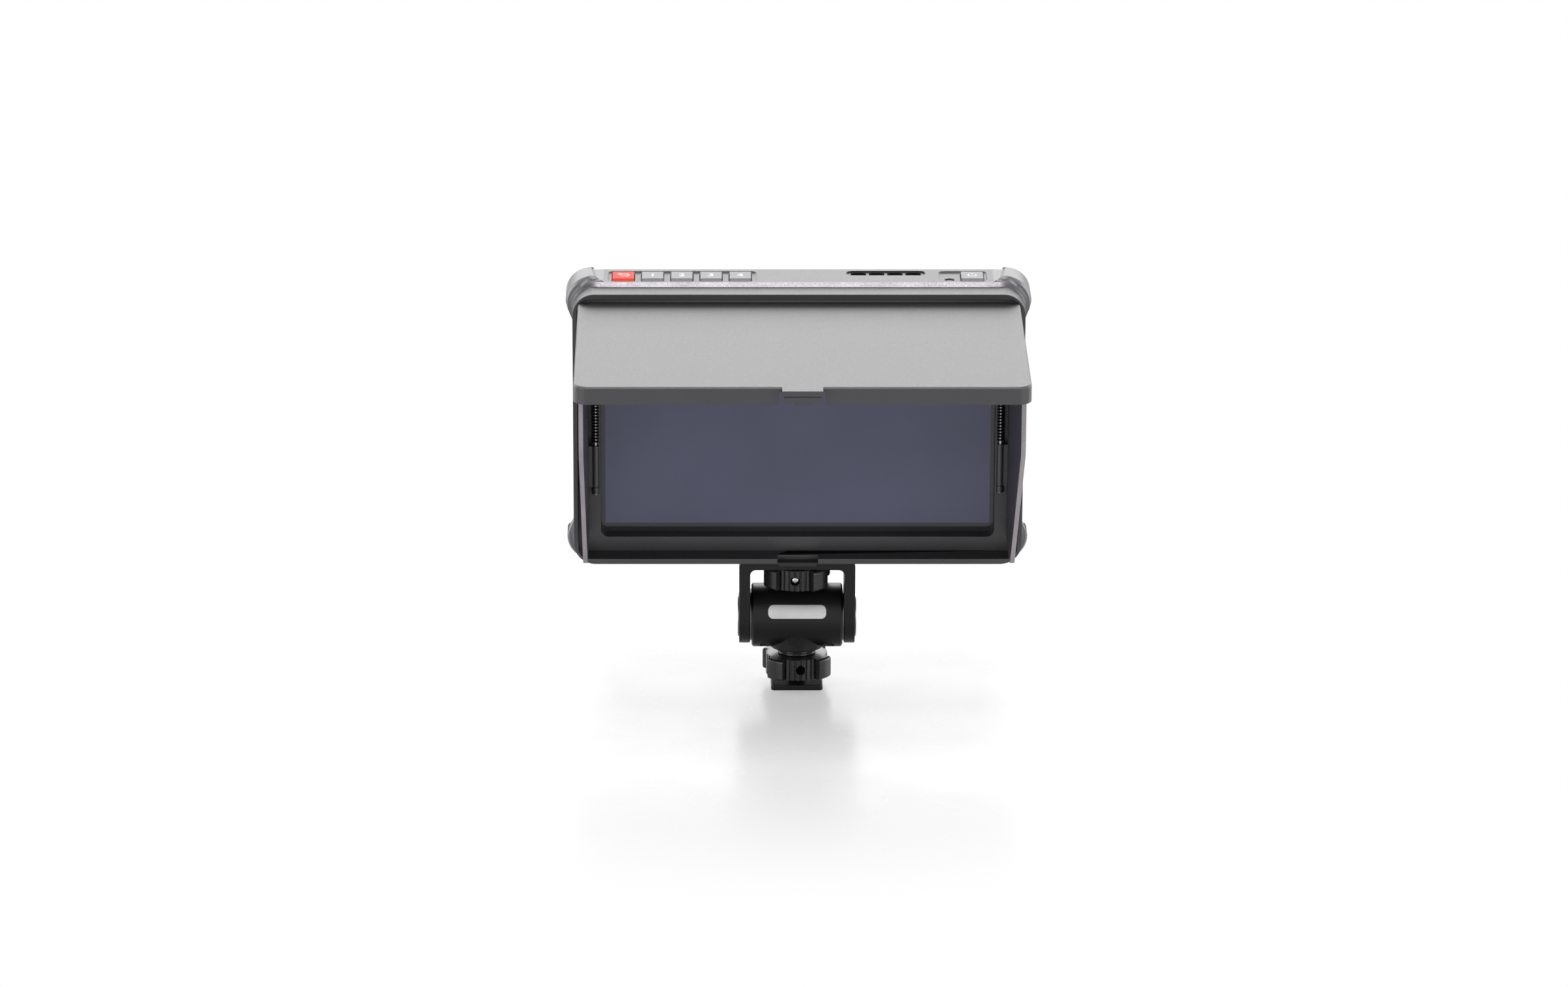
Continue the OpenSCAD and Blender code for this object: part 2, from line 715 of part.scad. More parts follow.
// The body's corner as it is left under a guard, drawn from the corner's outer edges inwards
module guard_core() {
    reach = guard_run + 1 - guard_seat_d;
    translate([-guard_run - 1, -guard_run - 1]) polygon(rounded_path([
        [0, 0], [reach, 0], [reach, reach], [0, reach]],
        [0, 0, body_r - guard_seat_d, 0], 10));
}

module guard_seat() {
    slab(guard_front, guard_back) difference() {
        translate([-guard_run, -guard_run]) square(guard_run + 10);
        guard_core();
    }
}

module corner_guards() {
    color(black) in_monitor() for (sx = [-1, 1], sz = [-1, 1]) guard_place(sx, sz)
        slab(guard_front, guard_back) difference() {
            polygon(rounded_path([
                [guard_side, -guard_run + 2], [guard_side, guard_top], [-guard_run + 3.5, guard_top],
                [-guard_run + 1, -guard_seat_d - 0.01], [-guard_seat_d - 0.01, -guard_run]],
                [2, body_r - 0.5, 2, 0, 0], 10));
            guard_core();
        }
}

module cover_glass() {
    color([0.05, 0.05, 0.06]) in_monitor() slab(glass_d, glass_d + glass_t) window_shape(glass_lap, 1.5);
}

module lcd_panel() {
    color([0.3, 0.32, 0.38]) in_monitor() slab(glass_d + glass_t, panel_back) window_shape(panel_lap, 0.6);
}

module backlight_unit() {
    color([0.9, 0.9, 0.9]) in_monitor() slab(panel_back, light_back) window_shape(panel_lap, 0.6);
}

carrier_stud_x = board_w / 2 - 8;
carrier_stud_places = [for (s = [-1, 1], z = [board_low + 6, board_high - 4]) [s * carrier_stud_x, z]];
carrier_hole_r = 4;
module panel_carrier() {
    color(steel) in_monitor() difference() {
        union() {
            slab(light_back, carrier_back) window_shape(panel_lap, 1.2);
            for (p = carrier_stud_places)
                translate([p[0], 0, p[1]]) rod_y(2.2, light_back, board_front);
        }
        for (k = [-2 : 2])
            translate([k * window_w * 0.184, 0, window_mid])
                rod_y(carrier_hole_r, light_back - 1, carrier_back + 1);
    }
}

board_mid = (board_low + board_high) / 2;
board_hole_inset = 16;
board_hole_rise = 3;
board_hole_x = board_w / 2 - board_hole_inset;
module main_board() {
    // Each chip's place from the board's middle, its width and its height
    chips = [[-34, -13, 14, 14], [8, -7, 18, 18], [36, 11, 12, 10], [-30, 15, 10, 14], [2, 19, 16, 6]];
    color([0.1, 0.35, 0.2]) in_monitor() {
        difference() {
            slab(board_front, board_front + board_t) translate([0, board_mid])
                round_rect(board_w, board_high - board_low, 2);
            for (s = [-1, 1])
                translate([s * board_hole_x, 0, board_mid + board_hole_rise])
                    rod_y(2, board_front - 1, board_front + board_t + 1);
        }
        for (c = chips)
            translate([c[0] - c[2] / 2, board_front + board_t - 0.1, board_mid + c[1] - c[3] / 2])
                cube([c[2], 1.1, c[3]]);
    }
}

module button_board() {
    color([0.1, 0.35, 0.2]) in_monitor() {
        span_box([pocket_left, pocket_front, switch_board_z],
                 [power_right, pocket_back - 1, switch_board_z + switch_board_t]);
        for (x = [for (k = [0 : 4]) button_x(k), power_x])
            translate([x, button_front + button_d / 2, switch_board_z])
                cylinder(r = 1.6, h = switch_top - switch_board_z);
    }
}

module tripod_insert() {
    color([0.75, 0.62, 0.3]) in_monitor() translate([0, screw_depth, body_low]) difference() {
        cylinder(r = insert_r, h = insert_h);
        translate([0, 0, -eps]) cylinder(r = screw_r + 0.08, h = insert_h + 2 * eps);
    }
}

module vent_grille() {
    vent_top = body_top - 0.5;
    color(black) in_monitor() translate([vent_x, vent_front + vent_d / 2, 0]) difference() {
        translate([0, 0, inside_top]) linear_extrude(vent_top - inside_top) round_rect(vent_w, vent_d, 2);
        for (k = [-1.5 : 1 : 1.5])
            translate([k * vent_w / 4.3, 0, inside_top - 1])
                linear_extrude(body_wall + 2) round_rect(vent_w / 4.3 - 1, vent_d - 1.2, 1);
    }
}

module light_sensor() {
    board_top = switch_board_z + switch_board_t;
    stem_h = pocket_floor - board_top - 1;
    color([0.9, 0.9, 0.95]) in_monitor() translate([sensor_x, sensor_d, board_top]) {
        cylinder(r = 1.4, h = stem_h);
        translate([0, 0, stem_h]) cylinder(r = 1.7, h = 0.7);
    }
}

battery_w = 42;
battery_h = 62;
rail_t = 2;
rail_rise = 3.6;
latch_travel = 2.5;
contact_xs = [-6, 0, 6];
battery_top = plate_mid_z + battery_h / 2;
battery_low = plate_mid_z - battery_h / 2;
rail_low = battery_low + 9;
rail_high = battery_top - 5;
lip_step = (rail_high - rail_low - 12) / 2;
module contact_blade(x, rise) {
    span_box([x - 0.6, bulge_back + 0.8, battery_top - 13],
             [x + 0.6, bulge_back + 0.8 + rise, battery_top - 4]);
}

module battery_plate() {
    color(black) in_monitor() difference() {
        union() {
            slab(bulge_back, bulge_back + 1.6) translate([0, plate_mid_z])
                round_rect(battery_w, battery_h, 2);
            for (s = [0, 1]) mirror([s, 0, 0]) {
                span_box([battery_w / 2 - rail_t, bulge_back, rail_low],
                         [battery_w / 2, bulge_back + rail_rise, rail_high]);
                // Lips over the groove that holds the battery
                for (k = [0 : 2]) translate([0, 0, rail_low + 2 + lip_step * k])
                    span_box([battery_w / 2 - rail_t - 1.2, bulge_back + rail_rise - 1.2, 0],
                             [battery_w / 2, bulge_back + rail_rise, 9]);
            }
            span_box([-battery_w / 2, bulge_back, rail_high],
                     [battery_w / 2, bulge_back + rail_rise, rail_high + 2.5]);
        }
        // Seat of the release latch
        span_box([-5.3, bulge_back + 0.4, battery_low + 3],
                 [5.3, bulge_back + 3, battery_low + 12 + latch_travel]);
        // Seats of the contact blades
        for (x = contact_xs) contact_blade(x, 2.2);
    }
}

module battery_contacts() {
    color([0.85, 0.7, 0.35]) in_monitor()
        for (x = contact_xs) contact_blade(x, 1.6);
}

module battery_latch() {
    color(graphite) in_monitor() translate([0, 0, battery_low + 3.2 + latch_travel]) difference() {
        union() {
            span_box([-5, bulge_back + 0.4, 0], [5, bulge_back + 2, 8.5]);
            span_box([-5, bulge_back + 1.9, 6.3], [5, bulge_back + 3, 8.5]);
        }
        for (z = [1.4, 2.8, 4.2]) translate([0, bulge_back + 2.15, z]) rod_x(0.4, -6, 6, $fn = 16);
    }
}

// A socket's metal shell in the left or right wall, with a tongue inside
module shell_socket(side, z, w, t, wall) {
    color(steel) in_monitor() mirror([side < 0 ? 1 : 0, 0, 0]) translate([body_w / 2, socket_d, z]) {
        difference() {
            span_box([-socket_in, -t / 2, -w / 2], [-0.2, t / 2, w / 2]);
            span_box([-socket_in + 1, -t / 2 + wall, -w / 2 + wall], [1, t / 2 - wall, w / 2 - wall]);
        }
        span_box([-socket_in + 0.5, -t / 10, -w / 2 + 1.8], [-1.2, t / 10, w / 2 - 1.8]);
    }
}

module video_in_socket() {
    shell_socket(-1, video_in_z, video_w, video_t, 0.3);
}

module video_out_socket() {
    shell_socket(-1, video_out_z, video_w, video_t, 0.3);
}

module service_socket() {
    shell_socket(1, service_z, service_w, service_t, 0.35);
}

headphone_in = 15;
module headphone_socket() {
    color(black) in_monitor() translate([-body_w / 2, socket_d, headphone_z]) difference() {
        rod_x(headphone_body_r, 0.1, headphone_in);
        rod_x(headphone_r, -1, headphone_in - 1);
    }
}

module power_socket() {
    color(black) in_monitor() translate([body_w / 2, socket_d, power_socket_z]) {
        difference() {
            rod_x(power_body_r, -socket_in, -0.1);
            rod_x(power_hole_r, -socket_in + 1, 1);
        }
        rod_x(1, -socket_in + 0.5, -1);
    }
}

module rear_screws() {
    color(steel) in_monitor() for (p = rear_screw_places) translate([p[0], 0, p[1]]) difference() {
        union() {
            rod_y(2.3, body_back - 1.4, body_back - 0.2);
            rod_y(1.2, carrier_back + 1, body_back - 1);
        }
        rod_y(0.9, body_back - 1, body_back + 1, $fn = 6);
    }
}

// A button cap with a sloping front edge, on a stem over its switch
module button(x, w) {
    stem_low = switch_top + button_travel + 0.1;
    color(graphite) in_monitor() {
        translate([x, 0, 0]) side_slab(-w / 2, w / 2) polygon([
            [button_front, inside_top - 0.4], [button_front, button_top - 0.5],
            [button_front + 0.8, button_top], [button_front + button_d, button_top],
            [button_front + button_d, inside_top - 0.4]]);
        translate([x, button_front + button_d / 2, stem_low])
            cylinder(r = 1.4, h = inside_top - 0.3 - stem_low);
        // Ledge that keeps the cap from leaving its hole
        span_box([x - w / 2 - 0.8, button_front, inside_top - pocket_depth - 0.9],
                 [x + w / 2 + 0.8, button_front + button_d, inside_top - pocket_depth - 0.15]);
    }
}

module return_button() {
    button(button_x(0), button_w);
}

module function_button(k) {
    button(button_x(k), button_w);
}

module power_button() {
    button(power_x, power_w);
}

// Sun hood

// Places its children on the left or right hinge axis, with +X towards the outside
module at_hinge(side) {
    axis_d = side < 0 ? left_axis_d : right_axis_d;
    mirror([side < 0 ? 1 : 0, 0, 0]) translate([side_axis_x, axis_d, 0]) children();
}

function hinge_d(side) = side < 0 ? left_axis_d : right_axis_d;

module hood_lug(side, low) {
    wall = hood_in_w / 2 - side_axis_x;
    at_hinge(side) {
        span_box([-barrel_r, hood_d - lug_plate_t - hinge_d(side), low],
                 [wall + 0.1, hood_d - hinge_d(side), low + lug_h]);
        span_box([-barrel_r, 0, low], [barrel_r, hood_d - hinge_d(side), low + lug_h]);
        translate([0, 0, low]) cylinder(r = barrel_r, h = lug_h);
    }
}

module hood_frame() {
    color(graphite) in_monitor() difference() {
        union() {
            difference() {
                slab(0, hood_d) translate([0, hood_h / 2]) round_rect(hood_w, hood_h, hood_r);
                slab(-1, hood_d + 1) translate([0, hood_h / 2])
                    round_rect(hood_in_w, hood_h - 2 * hood_top_wall, hood_inner_r);
                // Notch for the pull tab and slot for its catch
                span_box([-notch_w / 2, -1, -1], [notch_w / 2, notch_d, hood_top_wall + 1]);
                span_box([-catch_w / 2, notch_d + 1.5, -1], [catch_w / 2, hood_d - 0.2, hood_top_wall + 1]);
            }
            for (side = [-1, 1], low = [low_lug, high_lug]) hood_lug(side, low);
        }
        for (side = [-1, 1]) at_hinge(side) translate([0, 0, low_lug - 1])
            cylinder(r = pin_r + run_gap / 2, h = high_lug - low_lug + lug_h + 2, $fn = 32);
        translate([0, top_axis_d, top_axis_h])
            rod_x(top_pin_r, -hood_w / 2 + 0.7, hood_w / 2 - 0.7, $fn = 32);
    }
}

module top_hinge_pins() {
    color(steel) in_monitor() translate([0, top_axis_d, top_axis_h])
        for (s = [0, 1]) mirror([s, 0, 0])
            rod_x(top_pin_r - 0.01, ear_in - 0.6, hood_w / 2 - 0.8, $fn = 32);
}

module side_pin(side) {
    color(steel) in_monitor() at_hinge(side) {
        translate([0, 0, low_lug - 0.4])
            cylinder(r = pin_r, h = high_lug - low_lug + lug_h + 0.8, $fn = 32);
        translate([0, 0, high_lug + lug_h]) cylinder(r = pin_r + 0.4, h = 0.6, $fn = 32);
    }
}

module left_hinge_pin() {
    side_pin(-1);
}

module right_hinge_pin() {
    side_pin(1);
}

// Tips its children forwards about the top flap's hinge axis
module drooping() {
    translate([0, top_axis_d, top_axis_h]) rotate([flap_droop, 0, 0])
        translate([0, -top_axis_d, -top_axis_h]) children();
}

// Height of a side flap's upper edge at a reach in front of the lip
function side_top_at(reach) = side_top - (reach + top_axis_d) * tan(flap_droop);

// The plan of the top flap, drawn in on every side
module flap_plan(inset) {
    polygon(rounded_path([
        [-flap_half + inset, flap_end_d - inset], [-flap_half + inset, -flap_reach + inset],
        [flap_half - inset, -flap_reach + inset], [flap_half - inset, flap_end_d - inset]],
        [0, flap_r - inset, flap_r - inset, 0], 10));
}

module top_flap() {
    low = flap_top - flap_rim;
    color(graphite) in_monitor() drooping() {
        difference() {
            union() {
                translate([0, 0, low]) linear_extrude(flap_rim - flap_bevel) flap_plan(0);
                hull() {
                    translate([0, 0, flap_top - flap_bevel - 0.01]) linear_extrude(0.01) flap_plan(0);
                    translate([0, 0, flap_top - 0.01]) linear_extrude(0.01) flap_plan(flap_bevel);
                }
                span_box([-ear_in - 0.9, flap_end_d - 1.5, flap_under],
                         [ear_in + 0.9, flap_mid_d, flap_top]);
            }
            // The hollow under the plate, open to the back
            translate([0, 0, low - 1]) linear_extrude(flap_rim - flap_t + 1) polygon(rounded_path([
                [-flap_half + rim_t, flap_mid_d + 1], [-flap_half + rim_t, -flap_reach + rim_t],
                [flap_half - rim_t, -flap_reach + rim_t], [flap_half - rim_t, flap_mid_d + 1]],
                [0, flap_inner_r, flap_inner_r, 0]));
            // Gap in the rim where the tab's tongue bends
            span_box([-tab_w / 2 - tab_gap, -flap_reach - 1, low - 1],
                     [tab_w / 2 + tab_gap, -flap_reach + rim_t + 0.1, flap_under]);
        }
        flap_tab(flap_top, low);
        for (s = [-1, 1]) flap_ear(s);
    }
}

// The pull tab: two lips with a groove between them, and the catch under the lower lip
module flap_tab(top, low) {
    lip_h = 1.4;
    groove_h = 0.4;
    tab_drop = 0.7;
    tab_low = low + 1.2;
    front = -flap_reach - tab_reach;
    side_slab(-tab_w / 2, tab_w / 2) polygon([
        [-flap_reach + rim_t, top - flap_t], [-flap_reach + 0.2, top - lip_h - tab_drop],
        [front, top - lip_h - tab_drop], [front, top - tab_drop], [front + 1, top - tab_drop + 0.2],
        [-flap_reach + rim_t, top]]);
    span_box([-tab_w / 2 + 1.2, front + 1.2, tab_low], [tab_w / 2 - 1.2, -flap_reach + 0.2, top - lip_h]);
    span_box([-tab_w / 2 + 0.7, front + 0.3, tab_low],
             [tab_w / 2 - 0.7, -flap_reach + 0.2, top - lip_h - tab_drop - groove_h]);
    span_box([-2.55, front + 0.8, tab_low - 0.8], [2.55, -flap_reach - 1, tab_low + 0.1]);
}

module flap_ear(side) {
    boss_r = 1.7;
    from = side > 0 ? ear_in : -ear_out;
    difference() {
        side_slab(from, from + ear_out - ear_in) union() {
            translate([top_axis_d, top_axis_h]) circle(boss_r);
            polygon([
                [flap_end_d - 0.1, flap_under + 0.1], [flap_end_d - 0.1, top_axis_h - boss_r + 0.7],
                [top_axis_d, top_axis_h - boss_r], [top_axis_d, top_axis_h + boss_r],
                [flap_mid_d - 0.1, flap_under + 0.1]]);
        }
        translate([0, top_axis_d, top_axis_h]) rod_x(top_pin_r + run_gap, from - 1, from + 5, $fn = 32);
    }
}

module side_flap(side) {
    d = hinge_d(side);
    inner = side_offset - side_t;
    back = 0.2;
    clear_d = -1.6;
    color(graphite) in_monitor() at_hinge(side) difference() {
        union() {
            side_slab(inner, side_offset) polygon(rounded_path([
                [back, side_low], [-tip_reach - d, side_low], [side_front - d, kink_h],
                [side_front - d, side_top_at(-side_front)], [clear_d - d, side_top_at(-clear_d)],
                [clear_d - d, flap_top - flap_rim - 0.5], [back, flap_top - flap_rim - 0.5]],
                [0, 3, 2, 1.5, 0, 0, 0]));
            for (z = [[barrel_low, spring_low - 0.2], [spring_high + 0.2, barrel_high]]) {
                translate([0, 0, z[0]]) cylinder(r = barrel_r, h = z[1] - z[0], $fn = 32);
                span_box([0, -0.8, z[0]], [inner + 0.1, back, z[1]]);
            }
        }
        translate([0, 0, barrel_low - 1])
            cylinder(r = pin_r + run_gap, h = barrel_high - barrel_low + 2, $fn = 32);
    }
}

module left_flap() {
    side_flap(-1);
}

module right_flap() {
    side_flap(1);
}

// Hinge springs: one round wire wound on a helix about the pin, with both ends turned
// straight along the axis onto the barrels.
rings = 8;
wire_sides = 6;
coil_r = (spring_d - wire_d) / 2;
bend_steps = 3;
bend_rise = 0.3;
end_rise = wire_d + bend_rise;
coil_rise = spring_high - spring_low - 2 * end_rise;

// The wire's middle line, where t runs from 0 to 1 along the wound part
function coil_point(t) =
    let (a = 360 * spring_curls * t)
    [coil_r * cos(a), coil_r * sin(a), spring_low + end_rise + coil_rise * t];

// The bend from the straight end into the coil, k from 0 at the straight end
function bend_turn(k) = -360 / rings * 0.55 * pow(1 - k / bend_steps, 2);
function low_bend(k) =
    let (a = bend_turn(k), b = bend_turn(0))
    [coil_r * cos(a), coil_r * sin(a), spring_low + wire_d + bend_rise * (1 - pow(1 - k / bend_steps, 2))];
function flip(p) =
    let (a = 360 * spring_curls)
    [p.x * cos(a) + p.y * sin(a), p.x * sin(a) - p.y * cos(a), spring_low + spring_high - p.z];

low_end = concat(
    [[coil_r * cos(bend_turn(0)), coil_r * sin(bend_turn(0)), spring_low]],
    [for (k = [0 : bend_steps - 1]) low_bend(k)]);
spring_line = concat(
    low_end,
    [for (i = [0 : spring_curls * rings]) coil_point(i / (spring_curls * rings))],
    [for (i = [len(low_end) - 1 : -1 : 0]) flip(low_end[i])]);

function unit(v) = v / norm(v);

// One ring of the wire's skin, square to its middle line at point i
function wire_ring(line, i) =
    let (n = len(line),
         along = unit(line[min(i + 1, n - 1)] - line[max(i - 1, 0)]),
         out = [line[i].x, line[i].y, 0],
         side = unit(out - along * (out * along)),
         up = cross(along, side))
    [for (k = [0 : wire_sides - 1])
        line[i] + wire_d / 2 * (side * cos(360 * k / wire_sides) + up * sin(360 * k / wire_sides))];

module wire_spring() {
    n = len(spring_line);
    points = [for (i = [0 : n - 1]) each wire_ring(spring_line, i)];
    skin = [for (i = [0 : n - 2], k = [0 : wire_sides - 1])
        let (a = i * wire_sides + k, b = i * wire_sides + (k + 1) % wire_sides)
        each [[a, b + wire_sides, b], [a, a + wire_sides, b + wire_sides]]];
    low_cap = [for (k = [1 : wire_sides - 2]) [0, k, k + 1]];
    top = (n - 1) * wire_sides;
    high_cap = [for (k = [1 : wire_sides - 2]) [top, top + k + 1, top + k]];
    polyhedron(points = points, faces = concat(low_cap, skin, high_cap));
}

// Least gap between one stretch of wire and another, measured on the middle line
least_gap = min([for (i = [0 : len(spring_line) - 1], j = [i + rings / 2 : len(spring_line) - 1])
    norm(spring_line[i] - spring_line[j])]) - wire_d;
echo(least_spring_gap = least_gap);

module hinge_spring(side) {
    color(steel) in_monitor() at_hinge(side) wire_spring();
}

module left_hinge_spring() {
    hinge_spring(-1);
}

module right_hinge_spring() {
    hinge_spring(1);
}

shoe_foot();
swivel_washer();
stud_nut();
lower_thumbwheel();
head_lower_shell();
head_upper_shell();
head_screws();
blank_plate();
tilt_axle();
yoke();
friction_washers();
axle_caps();
bridge_pad();
upper_thumbwheel();
mounting_screw();
front_bezel();
rear_housing();
corner_guards();
cover_glass();
lcd_panel();
backlight_unit();
panel_carrier();
main_board();
button_board();
tripod_insert();
vent_grille();
light_sensor();
battery_plate();
battery_contacts();
battery_latch();
video_in_socket();
video_out_socket();
power_socket();
headphone_socket();
service_socket();
rear_screws();
return_button();
function_button(1);  // function_button_1
function_button(2);  // function_button_2
function_button(3);  // function_button_3
function_button(4);  // function_button_4
power_button();
hood_frame();
top_hinge_pins();
top_flap();
left_flap();
right_flap();
left_hinge_pin();
right_hinge_pin();
left_hinge_spring();
right_hinge_spring();
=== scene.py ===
import json
import logging
import math
from collections.abc import Callable, Sequence
from dataclasses import dataclass
from enum import Enum

import bmesh
import bpy
from mathutils import Matrix, Vector

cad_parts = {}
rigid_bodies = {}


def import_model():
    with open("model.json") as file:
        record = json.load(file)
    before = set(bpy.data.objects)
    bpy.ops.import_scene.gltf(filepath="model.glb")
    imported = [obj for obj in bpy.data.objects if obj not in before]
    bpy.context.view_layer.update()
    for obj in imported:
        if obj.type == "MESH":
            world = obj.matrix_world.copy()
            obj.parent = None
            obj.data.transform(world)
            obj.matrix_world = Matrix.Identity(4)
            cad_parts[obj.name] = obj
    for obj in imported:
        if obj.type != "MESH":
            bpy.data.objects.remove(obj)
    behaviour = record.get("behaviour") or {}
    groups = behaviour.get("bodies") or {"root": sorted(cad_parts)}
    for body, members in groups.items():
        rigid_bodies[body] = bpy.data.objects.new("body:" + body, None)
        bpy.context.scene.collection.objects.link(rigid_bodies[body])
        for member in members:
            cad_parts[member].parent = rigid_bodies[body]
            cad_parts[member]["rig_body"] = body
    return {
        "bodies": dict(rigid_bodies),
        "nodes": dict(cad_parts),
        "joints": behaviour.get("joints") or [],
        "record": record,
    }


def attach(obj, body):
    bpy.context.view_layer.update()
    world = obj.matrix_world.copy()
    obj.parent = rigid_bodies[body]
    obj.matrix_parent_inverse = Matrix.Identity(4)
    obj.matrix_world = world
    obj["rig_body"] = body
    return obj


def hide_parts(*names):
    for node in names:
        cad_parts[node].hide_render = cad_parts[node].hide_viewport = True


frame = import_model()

LOG = logging.getLogger("field_monitor")

# Sizes of the part are in millimetres. The floor, the lamps and the camera are in metres.
MM = 0.001
SHARP_ANGLE = math.radians(32)
FLAT_ANGLE = math.radians(0.5)
PARALLEL = 0.999
WELD = 1e-4
LEVEL_SLACK = 1e-3

# A cutting form reaches PAST what it cuts, and joined forms LAP over each other.
PAST = 1.0
LAP = 0.1

# The yoke tilts about an axis above the foot, and its screw carries the monitor.
AXIS_Z = 25.0
REST_TILT = math.radians(4.0)
SCREW_DEPTH = 17.2
YOKE_REACH = 24.9
BRACKET = Matrix.Identity(4)
YOKE = Matrix.Translation((0, 0, AXIS_Z)) @ Matrix.Rotation(REST_TILT, 4, "X")
MONITOR = YOKE @ Matrix.Translation((0, -SCREW_DEPTH, YOKE_REACH))

# Places that several sub-assemblies share. Depths start at the hood frame's front.
BODY_HALF = 77.15
BODY_HIGH = 98.85
BODY_CORNER = 8.85
HOOD_DEPTH = 8.4
WINDOW_HALF = 67.9
WINDOW_LOW = 7.15
WINDOW_HIGH = 88.25
GLASS_FRONT = 13.7
HINGE_X = 69.65
HINGE_BARREL = 1.3
KEY_FRONT = 11.2
KEY_BACK = 20.2

Point = tuple[float, float, float]
Outline = Sequence[tuple[float, float]]
Tone = tuple[float, float, float]


class Axis(Enum):
    """The directions of a part's own frame."""

    ACROSS = 0
    DEPTH = 1
    UP = 2

    def point(self, first: float, second: float, along: float) -> Vector:
        """Place a flat point square to the axis.

        Args:
            first: the point's first coordinate in the plane.
            second: the point's second coordinate in the plane.
            along: the distance along the axis.

        Returns:
            The point in space.
        """
        places = {
            Axis.ACROSS: (along, first, second),
            Axis.DEPTH: (first, along, second),
            Axis.UP: (first, second, along),
        }
        return Vector(places[self])


class Side(Enum):
    """The left or right of someone who faces the screen."""

    LEFT = -1
    RIGHT = 1

    @property
    def word(self) -> str:
        """The side's word in piece names."""
        return self.name.lower()

    @property
    def hinge_depth(self) -> float:
        """The depth of this side's hinge, which lets the left flap fold over the right one."""
        return 5.0 if self is Side.LEFT else 6.8


def runs(edge: bmesh.types.BMEdge, axis: Axis) -> bool:
    """Tell whether an edge runs along an axis.

    Args:
        edge: the edge to look at.
        axis: the axis it may run along.

    Returns:
        True if it is parallel to the axis.
    """
    step = edge.verts[0].co - edge.verts[1].co
    return abs(step[axis.value]) > PARALLEL * step.length


def lies(edge: bmesh.types.BMEdge, axis: Axis, level: float) -> bool:
    """Tell whether both ends of an edge lie at one level of an axis.

    Args:
        edge: the edge to look at.
        axis: the axis that the level is measured on.
        level: the level in millimetres.

    Returns:
        True if both ends are there.
    """
    return all(abs(vert.co[axis.value] - level) < LEVEL_SLACK for vert in edge.verts)


def sharp(edge: bmesh.types.BMEdge) -> bool:
    """Tell whether two faces meet at a hard edge."""
    return edge.is_manifold and edge.calc_face_angle(0.0) > SHARP_ANGLE


